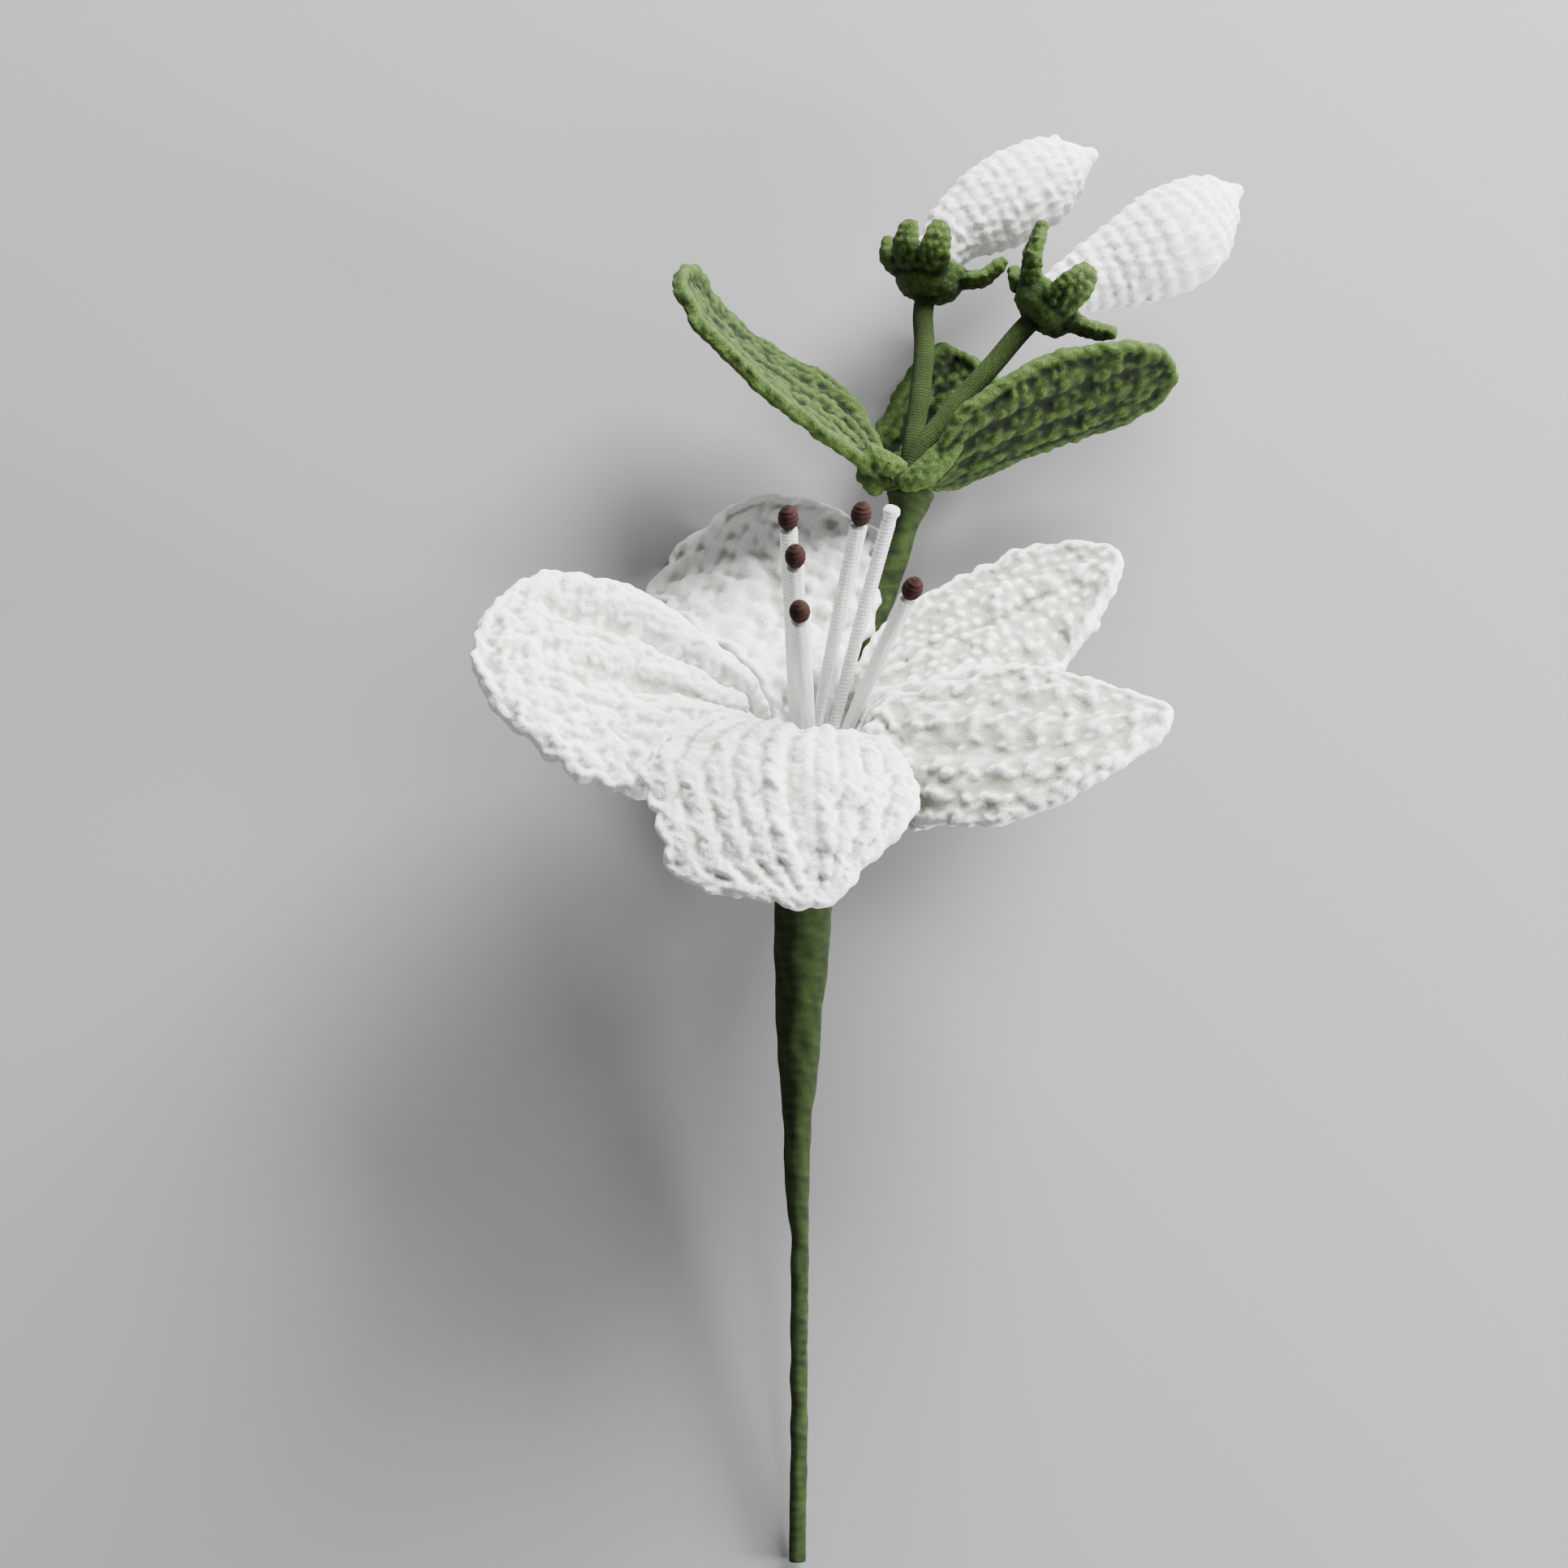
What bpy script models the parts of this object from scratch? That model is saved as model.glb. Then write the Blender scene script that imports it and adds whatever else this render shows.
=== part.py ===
"""Crocheted azalea spray: one open bloom, two buds and three leaves on a wire stem wound with tape.

Every size is in millimetres and every piece is shaped with the spray upright: +X to its right,
+Y away from the side that the bloom faces, +Z up the stem from the cut foot. The last step lays
the whole spray on its back, the way a cut stem rests, and centres it over the origin.
"""

from math import cos, pi, radians, sin

import bmesh
import bpy
import numpy as np
from mathutils import Matrix, Vector

MM = 0.001

# Yarn, tape and wire
YARN_SHEET = 2.2
ROOT_SHEET = 1.6
GAP = 0.3
STEM_WIRE = 0.8
BRANCH_WIRE = 0.6
BUD_WIRE = 0.5
STAMEN_WIRE = 0.3
BORE_CLEARANCE = 0.3

# Stitches: lengthwise ribs of the sheets, and how far the edge stitches stand out
PETAL_RIBS = 8
PETAL_RIB = 0.45
LEAF_RIBS = 5
LEAF_RIB = 0.4
LEAF_FURROW = 0.5
EDGE_STITCH = 0.7
SHEET_ROWS = 14
BUD_ROUNDS = 15
BUD_ROUND = 0.35

# How finely each piece is faceted: places along it, and sides round it
STEM_PLACES = 25
STEM_SIDES = 12
STEM_BORE = slice(0, 20, 3)
STEM_WIRE_SIDES = 8
BRANCH_PLACES = 16
BRANCH_SIDES = 10
BUD_STEM_PLACES = 11
BUD_STEM_SIDES = 8
THIN_WIRE_SIDES = 6
STAMEN_PLACES = 8
STAMEN_SIDES = 8
ANTHER_PLACES = 6
CUP_SIDES = 14
SEPAL_PLACES = 6
SEPAL_SIDES = 8
BUD_SIDES = 16
FILLING_SIDES = 10

# Bloom: its throat, its axis leaning forward out of the stem, and the ring of petal roots
THROAT = np.array((2.3, 0.0, 157.6))
BLOOM_LEAN = radians(38)
AXIS = np.array((0.0, -sin(BLOOM_LEAN), cos(BLOOM_LEAN)))
FRONT = np.array((0.0, -cos(BLOOM_LEAN), -sin(BLOOM_LEAN)))
RIGHT = np.array((1.0, 0.0, 0.0))
FUNNEL = ((0.2, 6.6), (11.0, 10.2), (22.0, 14.0))
POST_RADIUS = 5.5
POST_HEIGHT = 2.0
SHOULDER_RADIUS = 7.5

# Stamens: the circle that they stand in, and the height of their feet above the throat
STAMEN_CIRCLE = 3.1
STAMEN_FOOT = 2.8
STAMEN_BOW = 1.5
FILAMENT_FOOT = 0.95
FILAMENT_TIP = 1.75
PISTIL_TIP = 1.45
ANTHER_LENGTH = 5.0
ANTHER_RADIUS = 2.1

# Fork of the side branch, and the seats of the two calyces with the way each of them faces
FORK = np.array((23.0, 13.0, 219.8))
FORK_RADIUS = 4.7
BUD_STEM = 2.15
CALYX_LEFT = np.array((26.7, 24.2, 261.3))
CALYX_LEFT_WAY = np.array((0.2, 0.15, 0.97))
CALYX_RIGHT = np.array((48.3, 14.0, 255.2))
CALYX_RIGHT_WAY = np.array((0.7, 0.05, 0.71))
STRAIGHT_AT_CALYX = 2.5
STEM_INTO_CALYX = 1.9
BUD_SEAT = 2.5
BUD_NECK = 6.0
BUD_WALL = 1.8

# How the spray lies on the stem's foot, the back petal's left lobe and the tip of the back leaf
LAY_TILT = radians(7.9)
LAY_ROLL = radians(-0.45)


# Materials

def material(name, colour, roughness, metallic=0.0):
    made = bpy.data.materials.new(name)
    made.use_nodes = True
    shader = made.node_tree.nodes["Principled BSDF"]
    shader.inputs["Base Color"].default_value = (*colour, 1.0)
    shader.inputs["Roughness"].default_value = roughness
    shader.inputs["Metallic"].default_value = metallic
    made.diffuse_color = (*colour, 1.0)
    return made


def clear_scene():
    for thing in list(bpy.data.objects):
        bpy.data.objects.remove(thing, do_unlink=True)


# Curves through a few points

def distances(points):
    """How far along its own chord each point lies, starting at 0."""
    steps = np.linalg.norm(np.diff(points, axis=0), axis=1)
    return np.concatenate(([0.0], np.cumsum(steps)))


def through(knots, values, where):
    """Reads a smooth curve that passes through each value at its knot."""
    values = np.asarray(values, float)
    knots = np.asarray(knots, float)
    slopes = np.gradient(values, knots, axis=0)
    at = np.clip(np.searchsorted(knots, where, side="right") - 1, 0, len(knots) - 2)
    width = knots[at + 1] - knots[at]
    t = (where - knots[at]) / width
    shape = (-1,) + (1,) * (values.ndim - 1)
    t = t.reshape(shape)
    width = width.reshape(shape)
    start = (1 + 2 * t) * (1 - t) ** 2
    leave = t * (1 - t) ** 2
    end = t**2 * (3 - 2 * t)
    arrive = t**2 * (t - 1)
    return (
        start * values[at]
        + leave * width * slopes[at]
        + end * values[at + 1]
        + arrive * width * slopes[at + 1]
    )


def unit(vectors):
    vectors = np.asarray(vectors, float)
    return vectors / np.linalg.norm(vectors, axis=-1, keepdims=True)


def around_bloom(height, radius, degrees):
    """A point round the bloom's axis: 0 degrees is its front, 90 its right."""
    turn = radians(degrees)
    return THROAT + radius * (cos(turn) * FRONT + sin(turn) * RIGHT) + height * AXIS


# Meshes

def solid(name, verts, faces, finish, lay):
    """One closed body, its faces turned outwards, carried by the empty that lays the spray down."""
    mesh = bpy.data.meshes.new(name)
    made = bmesh.new()
    corners = [made.verts.new(Vector(corner) * MM) for corner in verts]
    for face in faces:
        made.faces.new([corners[i] for i in face])
    bmesh.ops.recalc_face_normals(made, faces=made.faces)
    made.to_mesh(mesh)
    made.free()
    mesh.materials.append(finish)
    mesh.shade_smooth()
    piece = bpy.data.objects.new(name, mesh)
    piece.parent = lay
    bpy.context.scene.collection.objects.link(piece)
    return piece


def blade(stations, ribs, rib_depth, furrow):
    """A worked sheet lofted through cross rows, each a few points from one edge to the other.

    Ribs run lengthwise, one for every two columns, a furrow runs down the middle, and every
    other row stands out at both edges. Both faces are split into triangles alike.
    """
    rows = SHEET_ROWS
    stations = np.asarray(stations, float)
    guides = stations.shape[1]
    columns = 2 * ribs + 1
    knots = distances(stations.mean(axis=1))
    along = np.linspace(0, 1, rows)
    lines = through(knots, stations, along * knots[-1])
    spots = np.linspace(-1, 1, guides)
    across = np.linspace(-1, 1, columns)
    weights = np.ones((columns, guides))
    for g in range(guides):
        for other in range(guides):
            if other != g:
                weights[:, g] *= (across - spots[other]) / (spots[g] - spots[other])
    sheet = np.einsum("cg,rgk->rck", weights, lines)
    normals = unit(np.cross(np.gradient(sheet, axis=0), np.gradient(sheet, axis=1)))
    fade = np.clip(along / 0.25, 0, 1) * np.clip((1 - along) / 0.08, 0.3, 1)
    ridge = rib_depth * np.cos(pi * ribs * (across + 1)) * (1 - 0.6 * across**4)
    groove = -furrow * np.exp(-((across / 0.16) ** 2))
    sheet = sheet + normals * (fade[:, None] * (ridge + groove)[None, :])[..., None]
    thickness = ROOT_SHEET + (YARN_SHEET - ROOT_SHEET) * np.clip(along / 0.3, 0, 1)
    outward = unit(np.stack((sheet[:, 0] - sheet[:, 1], sheet[:, -1] - sheet[:, -2]), 1))
    bump = EDGE_STITCH * np.clip(4 * along - 1, 0, 1) * (np.arange(rows) % 2)
    half = (thickness / 2)[:, None]
    reach = half + bump[:, None]
    edges = sheet[:, [0, -1]] + outward * reach[:, None]
    upper = sheet + normals * half[..., None]
    lower = sheet - normals * half[..., None]
    loops = np.concatenate((upper, edges[:, 1:], lower[:, ::-1], edges[:, :1]), axis=1)
    round_count = loops.shape[1]
    verts = loops.reshape(-1, 3)
    faces = []
    for r in range(rows - 1):
        for c in range(round_count):
            a = r * round_count + c
            b = r * round_count + (c + 1) % round_count
            c2 = b + round_count
            d = a + round_count
            if c < columns:
                faces += [(a, b, c2), (a, c2, d)]
            else:
                faces += [(a, b, d), (b, c2, d)]
    for start in (0, (rows - 1) * round_count):
        top = [start + c for c in range(columns)]
        right = start + columns
        bottom = [start + round_count - 2 - c for c in range(columns)]
        left = start + round_count - 1
        for c in range(columns - 1):
            faces += [(top[c], top[c + 1], bottom[c + 1]), (top[c], bottom[c + 1], bottom[c])]
        faces += [(top[-1], right, bottom[-1]), (left, top[0], bottom[0])]
    return verts, faces


def rings(path, wide, thin, sides, facing, relief=0.0):
    """Oval rings square to a path; facing is roughly the way of each ring's wide half."""
    path = np.asarray(path, float)
    tangents = unit(np.gradient(path, axis=0))
    facing = np.asarray(facing, float)
    first = unit(facing - (tangents @ facing)[:, None] * tangents)
    second = np.cross(tangents, first)
    turns = np.arange(sides) * 2 * pi / sides
    stitch = np.repeat(relief * np.cos(pi * np.arange(len(path)))[:, None], sides, axis=1)
    stitch[[0, -1]] = 0.0
    wide = (np.asarray(wide)[:, None] + stitch)[..., None]
    thin = (np.asarray(thin)[:, None] + stitch)[..., None]
    return (
        path[:, None]
        + wide * np.cos(turns)[None, :, None] * first[:, None]
        + thin * np.sin(turns)[None, :, None] * second[:, None]
    )


def tube(outer, inner=None):
    """A closed body round stacked rings, with a bore in it that opens at its first ring."""
    count, sides = outer.shape[:2]
    verts = list(outer.reshape(-1, 3))
    faces = []

    def walls(start, number):
        for r in range(number - 1):
            for s in range(sides):
                a = start + r * sides + s
                b = start + r * sides + (s + 1) % sides
                faces.append((a, b, b + sides, a + sides))

    def cap(ring, start):
        verts.append(ring.mean(axis=0))
        for s in range(sides):
            faces.append((start + s, start + (s + 1) % sides, len(verts) - 1))

    walls(0, count)
    if inner is None:
        cap(outer[0], 0)
        cap(outer[-1], (count - 1) * sides)
        return verts, faces
    start = len(verts)
    verts.extend(inner.reshape(-1, 3))
    walls(start, len(inner))
    for s in range(sides):
        t = (s + 1) % sides
        faces.append((s, t, start + t, start + s))
    cap(inner[-1], start + (len(inner) - 1) * sides)
    cap(outer[-1], (count - 1) * sides)
    return verts, faces


def smooth_path(points, count):
    """Evenly spaced places along a smooth line through x, y, z and radius."""
    points = np.asarray(points, float)
    knots = distances(points[:, :3])
    return through(knots, points, np.linspace(0, knots[-1], count))


# Stems, each a wound sleeve on a wire

def wound_stem(name, wire_name, points, count, sides, wire, finish, steel, lay, facing=RIGHT):
    """A sleeve along a line of x, y, z and radius, and the wire in it, which ends inside."""
    line = smooth_path(points, count)
    outer = rings(line[:, :3], line[:, 3], line[:, 3], sides, facing)
    bored = line[: count - 2 : 2]
    bore = np.full(len(bored), wire + BORE_CLEARANCE)
    inner = rings(bored[:, :3], bore, bore, sides, facing)
    solid(name, *tube(outer, inner), finish, lay)
    core = bored.copy()
    core[-1, :3] -= unit(core[-1, :3] - core[-2, :3]) * 2 * GAP
    thick = np.full(len(core), wire)
    shape = tube(rings(core[:, :3], thick, thick, THIN_WIRE_SIDES, facing))
    solid(wire_name, *shape, steel, lay)


def main_stem(finish, steel, lay):
    """The tape winds on in steps up the stem, swells to a cone and ends in the bloom's seat."""
    winding = (
        (-0.3, 5.0, 0.0, 1.7),
        (0.0, 5.0, 32.0, 1.72),
        (0.1, 5.0, 61.0, 1.8),
        (0.2, 5.0, 67.5, 1.85),
        (-0.2, 5.0, 72.6, 2.25),
        (-0.5, 5.0, 82.5, 2.65),
        (-0.3, 5.0, 91.5, 3.0),
        (-0.2, 5.0, 97.4, 3.7),
        (-0.1, 5.0, 102.3, 4.25),
        (0.0, 5.0, 112.2, 4.7),
        (0.4, 5.0, 122.1, 5.5),
        (0.8, 5.0, 133.0, 5.85),
        (1.2, 5.3, 140.0, 6.3),
        (1.8, 5.0, 147.0, 6.9),
        (*(THROAT - 4.5 * AXIS), 7.3),
        (*(THROAT - GAP * AXIS), SHOULDER_RADIUS),
    )
    line = smooth_path(winding, STEM_PLACES)
    outer = rings(line[:, :3], line[:, 3], line[:, 3], STEM_SIDES, RIGHT)
    turns = np.arange(STEM_SIDES) * 2 * pi / STEM_SIDES
    seat = THROAT - GAP * AXIS
    round_axis = RIGHT * np.cos(turns)[:, None] + np.cross(AXIS, RIGHT) * np.sin(turns)[:, None]
    outer[-1] = seat + SHOULDER_RADIUS * round_axis
    post_foot = seat + POST_RADIUS * round_axis
    post_top = THROAT + POST_HEIGHT * AXIS + (POST_RADIUS - 0.4) * round_axis
    outer = np.concatenate((outer, post_foot[None], post_top[None]))
    bored = line[STEM_BORE]
    bore = np.full(len(bored), STEM_WIRE + BORE_CLEARANCE)
    inner = rings(bored[:, :3], bore, bore, STEM_SIDES, RIGHT)
    solid("stem_wrap", *tube(outer, inner), finish, lay)
    core = bored.copy()
    core[-1, 2] -= 2 * GAP
    thick = np.full(len(core), STEM_WIRE)
    shape = tube(rings(core[:, :3], thick, thick, STEM_WIRE_SIDES, RIGHT))
    solid("stem_wire", *shape, steel, lay)


def side_branch(finish, steel, lay):
    """It leaves the back of the cone, passes between two petals and thickens at its fork."""
    line = (
        (-1.0, 12.8, 128.0, 1.6),
        (-0.5, 14.0, 137.0, 2.2),
        (1.8, 15.2, 148.0, 2.6),
        (6.0, 13.6, 163.0, 2.65),
        (10.8, 11.8, 178.0, 2.65),
        (15.2, 11.0, 192.4, 2.65),
        (18.4, 11.7, 201.0, 2.6),
        (20.9, 12.4, 208.5, 2.65),
        (22.0, 12.8, 213.8, 3.2),
        (22.8, 13.0, 217.6, 4.4),
        (*FORK, FORK_RADIUS),
    )
    fineness = (BRANCH_PLACES, BRANCH_SIDES)
    wound_stem("branch_wrap", "branch_wire", line, *fineness, BRANCH_WIRE, finish, steel, lay)


def bud_stems(finish, steel, lay):
    """Both start side by side on the fork's end and run into the calyces."""
    routes = {
        "left": (
            ((22.8, 15.05, 220.2), (22.9, 15.1, 224.6), (25.0, 18.0, 238.0), (26.3, 21.6, 250.8)),
            CALYX_LEFT,
            unit(CALYX_LEFT_WAY),
        ),
        "right": (
            ((22.8, 10.9, 220.2), (23.2, 10.8, 223.4), (33.5, 11.8, 238.3), (40.5, 12.8, 246.3)),
            CALYX_RIGHT,
            unit(CALYX_RIGHT_WAY),
        ),
    }
    for side, (route, seat, way) in routes.items():
        radii = (1.85, 1.9, BUD_STEM, BUD_STEM)
        line = [(*point, radius) for point, radius in zip(route, radii)]
        line.append((*(seat - STRAIGHT_AT_CALYX * way), BUD_STEM))
        line.append((*(seat + STEM_INTO_CALYX * way), BUD_STEM))
        names = ("bud_stem_" + side, "bud_wire_" + side)
        fineness = (BUD_STEM_PLACES, BUD_STEM_SIDES)
        wound_stem(*names, line, *fineness, BUD_WIRE, finish, steel, lay)


# Stamens and pistil

def stamens(white, brown, steel, lay):
    """Five wound filaments with a brown anther each, and the pistil, from a ring in the throat."""
    tips = {
        "filament_1": (250, (-2.2, -37.0, 208.0)),
        "filament_2": (310, (-0.9, -44.0, 200.4)),
        "filament_3": (10, (0.0, -51.0, 190.0)),
        "filament_4": (190, (11.4, -30.0, 209.2)),
        "filament_5": (70, (20.6, -41.6, 194.6)),
        "pistil": (130, (17.8, -24.0, 211.8)),
    }
    for name, (degrees, tip) in tips.items():
        foot = around_bloom(STAMEN_FOOT, STAMEN_CIRCLE, degrees)
        tip = np.asarray(tip)
        middle = (foot + tip) / 2 + STAMEN_BOW * AXIS
        line = (
            (*foot, FILAMENT_FOOT),
            (*middle, (FILAMENT_FOOT + FILAMENT_TIP) / 2),
            (*tip, PISTIL_TIP if name == "pistil" else FILAMENT_TIP),
        )
        wire = name.replace("filament", "filament_wire").replace("pistil", "pistil_wire")
        fineness = (STAMEN_PLACES, STAMEN_SIDES)
        wound_stem(name, wire, line, *fineness, STAMEN_WIRE, white, steel, lay)
        if name == "pistil":
            continue
        way = unit(tip - middle)
        share = np.linspace(0, 1, ANTHER_PLACES)
        centres = tip + way * (GAP + share[:, None] * ANTHER_LENGTH)
        swell = ANTHER_RADIUS * np.sqrt(1 - (0.85 * (2 * share - 1)) ** 2) * (1 - 0.12 * share)
        shape = tube(rings(centres, swell, swell, STAMEN_SIDES, RIGHT))
        solid(name.replace("filament", "anther"), *shape, brown, lay)


# Petals

def funnel_rows(start, end, guides):
    """Cross rows of a petal's claw, from start to end in degrees round the bloom's axis."""
    rows = []
    for height, radius in FUNNEL:
        inset = np.degrees((YARN_SHEET / 2 + 1.8 * GAP) / radius)
        turns = np.linspace(start + inset, end - inset, guides)
        rows.append([around_bloom(height, radius, turn) for turn in turns])
    return rows


PETALS = {
    "petal_front": (
        (-37, 37),
        (
            ((-17, -29.5, 171), (0.5, -32, 169.5), (15, -31.5, 167.5)),
            ((-28, -37, 164), (-2, -42, 164.5), (21, -39, 160)),
            ((-26.3, -45, 152), (-1.5, -49, 152.5), (19.7, -46.5, 151.8)),
            ((-19, -50, 140), (1, -52.5, 142), (11, -51, 143.6)),
            ((-4, -53, 138.3), (2.5, -53.7, 136.5), (7.5, -52.8, 139.3)),
        ),
        0.8,
    ),
    "petal_left": (
        (-125, -37),
        (
            ((-22, -5, 188), (-23, -19.5, 177.5), (-18, -30, 162)),
            ((-33, -4, 195.9), (-36, -24.5, 180), (-31, -38, 158.4)),
            ((-44.5, -8, 198.8), (-47, -28.5, 182.3), (-42.8, -42, 163)),
            ((-54, -15, 198.4), (-56, -31.5, 184), (-53.2, -41, 170.2)),
            ((-60.6, -23.5, 193.6), (-62.3, -32, 184), (-60, -38, 177.8)),
        ),
        0.6,
    ),
    "petal_back": (
        (148, 235),
        (
            ((13.8, 2.5, 190), (-2, 5, 191), (-18, 5, 189)),
            ((14.6, 6.5, 198.5), (-4, 14, 201), (-27, 19, 195.5)),
            ((14.8, 13, 206), (-6, 22.5, 210), (-30, 33.2, 202.3)),
            ((14.4, 19.5, 211.8), (-6, 26.5, 215.6), (-22.3, 34.6, 210.6)),
            ((8.5, 24.5, 215), (-2, 28, 218.8), (-11.8, 31.5, 218.4)),
        ),
        0.5,
    ),
    "petal_right_upper": (
        (95, 148),
        (
            ((24, -12, 178.5), (26, -5, 186), (16.8, -1, 188.5)),
            ((37, -9, 182), (36, -1.5, 190.5), (28.5, 6, 198.2)),
            ((51.5, -3.5, 182), (46, 3.5, 195.5), (42, 11, 204.4)),
            ((57.2, 1, 189), (55.5, 7.5, 199.8), (54, 14, 207.8)),
            ((64, 6.5, 200.3), (66, 10.5, 205.6), (62, 13, 207.9)),
        ),
        0.9,
    ),
    "petal_right_lower": (
        (37, 95),
        (
            ((19, -27, 150.5), (20, -28, 160), (22, -23, 170), (24, -16.5, 176.5)),
            ((28.5, -34, 150), (30, -38, 157), (34, -29, 170), (34, -18.5, 179)),
            ((43, -40.5, 152.5), (44, -44, 157.5), (47.5, -34, 171), (46, -21.5, 181)),
            ((56.5, -42.5, 159.6), (57, -45, 162.8), (58.5, -37, 171), (55.8, -26, 178.6)),
            ((67.8, -40, 166.8), (70, -39.5, 169.8), (70.5, -36.5, 172.8), (66, -32, 174.4)),
        ),
        0.5,
    ),
}


def petals(finish, lay):
    for name, ((start, end), free_rows, furrow) in PETALS.items():
        stations = funnel_rows(start, end, len(free_rows[0])) + list(free_rows)
        shape = blade(stations, PETAL_RIBS, PETAL_RIB, furrow)
        solid(name, *shape, finish, lay)


# Leaves, each root row set against the fork

LEAVES = {
    "leaf_left": (
        ((18.6, 9.3, 221.2), (18.6, 12.8, 221.8), (18.6, 16.3, 223.4)),
        ((9.5, 4.5, 228), (9.5, 13, 232.5), (10.5, 21, 240)),
        ((-1.5, 1.5, 235.9), (-2, 13, 240.5), (0, 25, 247.4)),
        ((-11.6, 1, 244.3), (-13, 13, 248.8), (-10.5, 24, 253.2)),
        ((-20.2, 3, 253.6), (-21, 12, 257.5), (-18.4, 20.5, 260.8)),
        ((-25, 7, 260.8), (-24, 11.5, 264.5), (-22.2, 15.5, 266.6)),
    ),
    "leaf_right": (
        ((26.8, 8.8, 224.2), (26.8, 12.6, 221.6), (26.6, 15.6, 220.9)),
        ((31, 4, 235.2), (31.5, 12.5, 225.5), (33, 22, 222.3)),
        ((42, 2.5, 240.4), (43, 13, 230), (45.5, 24, 227.8)),
        ((54, 3, 246.2), (56, 13.5, 235), (58.5, 23, 232.8)),
        ((66, 5, 248.5), (68.5, 13.5, 240), (70.8, 21, 236.7)),
        ((74.2, 8, 248.6), (77, 13, 245), (77, 17.5, 241.2)),
    ),
    "leaf_back": (
        ((20, 18.3, 220.8), (22.4, 18.4, 221), (24.6, 18.3, 220.8)),
        ((13.5, 21.5, 223.2), (22, 23, 224.5), (28, 24.5, 225)),
        ((17, 27.5, 232), (25, 31.5, 231), (34, 30, 230.5)),
        ((21, 33, 240), (29, 37, 241), (39, 36, 239.5)),
        ((26, 37.5, 249), (32.5, 40, 248), (42.5, 38.5, 244.5)),
        ((29.5, 39, 253), (33.5, 40.3, 252), (37, 40, 250.5)),
    ),
}


def leaves(finish, lay):
    for name, stations in LEAVES.items():
        solid(name, *blade(stations, LEAF_RIBS, LEAF_RIB, LEAF_FURROW), finish, lay)


# Calyces: a worked cup with five sepals

CUP_OUTLINE = (
    (0.0, BUD_STEM + GAP),
    (0.2, 4.6),
    (1.7, 6.5),
    (4.2, 7.5),
    (6.8, 7.8),
    (7.6, 7.2),
    (6.8, 6.2),
    (4.5, 5.5),
    (2.5, 4.4),
    (1.9, BUD_STEM + GAP),
)

SEPAL_ROOT_HEIGHT = 4.8
SEPAL_ROOT_RADIUS = 6.6
SEPAL_SHEET = 3.6
SEPAL_SHAPE = (1.05, 1.0, 0.6)

SEPALS = {
    "calyx_left": (
        ((28.4, 15.2, 270.8), (29.4, 15.4, 276.2), 3.3),
        ((38.0, 22.4, 265.0), (43.4, 21.0, 269.0), 2.8),
        ((22.2, 18.3, 271.4), (23.5, 18.5, 276.8), 3.4),
        ((18.9, 24.8, 269.6), (18.8, 24.4, 274.4), 3.2),
        ((30.5, 33.4, 270.8), (33.0, 34.2, 274.6), 3.0),
    ),
    "calyx_right": (
        ((48.2, 9.4, 268.2), (50.4, 9.2, 275.0), 2.8),
        ((57.0, 5.2, 261.4), (59.8, 5.6, 265.2), 3.8),
        ((61.4, 10.8, 252.6), (65.4, 9.4, 252.0), 2.9),
        ((45.6, 17.8, 263.4), (44.9, 18.4, 267.0), 3.0),
        ((58.6, 23.4, 264.4), (61.4, 24.2, 267.6), 2.9),
    ),
}


def calyx(name, seat, way, finish, lay):
    way = unit(way)
    side = unit(np.cross(way, FRONT))
    other = np.cross(way, side)
    turns = np.arange(CUP_SIDES) * 2 * pi / CUP_SIDES
    spokes = np.cos(turns)[:, None] * side + np.sin(turns)[:, None] * other
    loops = [seat + height * way + radius * spokes for height, radius in CUP_OUTLINE]
    verts = np.concatenate(loops)
    faces = []
    count = len(CUP_OUTLINE)
    for r in range(count):
        ring = r * CUP_SIDES
        above = (r + 1) % count * CUP_SIDES
        for s in range(CUP_SIDES):
            t = (s + 1) % CUP_SIDES
            faces.append((ring + s, ring + t, above + t, above + s))
    cup = solid(name, verts, faces, finish, lay)
    fingers = bpy.data.collections.new(name + "_sepals")
    bpy.context.scene.collection.children.link(fingers)
    for number, (middle, tip, width) in enumerate(SEPALS[name]):
        reach = np.asarray(middle) - seat
        outward = unit(reach - way * np.dot(reach, way))
        root = seat + SEPAL_ROOT_HEIGHT * way + SEPAL_ROOT_RADIUS * outward
        spots = zip((root, middle, tip), SEPAL_SHAPE)
        line = smooth_path([(*spot, share) for spot, share in spots], SEPAL_PLACES)
        wide = width * line[:, 3]
        thin = SEPAL_SHEET / 2 * line[:, 3] ** 0.5
        shape = tube(rings(line[:, :3], wide, thin, SEPAL_SIDES, np.cross(outward, way)))
        finger = solid(name + "_sepal_%d" % number, *shape, finish, lay)
        bpy.context.scene.collection.objects.unlink(finger)
        fingers.objects.link(finger)
    join = cup.modifiers.new("sepals", "BOOLEAN")
    join.operation = "UNION"
    join.operand_type = "COLLECTION"
    join.collection = fingers
    join.solver = "EXACT"
    bpy.context.view_layer.update()
    joined = bpy.data.meshes.new_from_object(
        cup.evaluated_get(bpy.context.evaluated_depsgraph_get())
    )
    cup.modifiers.clear()
    cup.data = joined
    for finger in list(fingers.objects):
        bpy.data.objects.remove(finger, do_unlink=True)
    bpy.data.collections.remove(fingers)


# Buds: a worked cover, open at its base, round a filling

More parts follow.
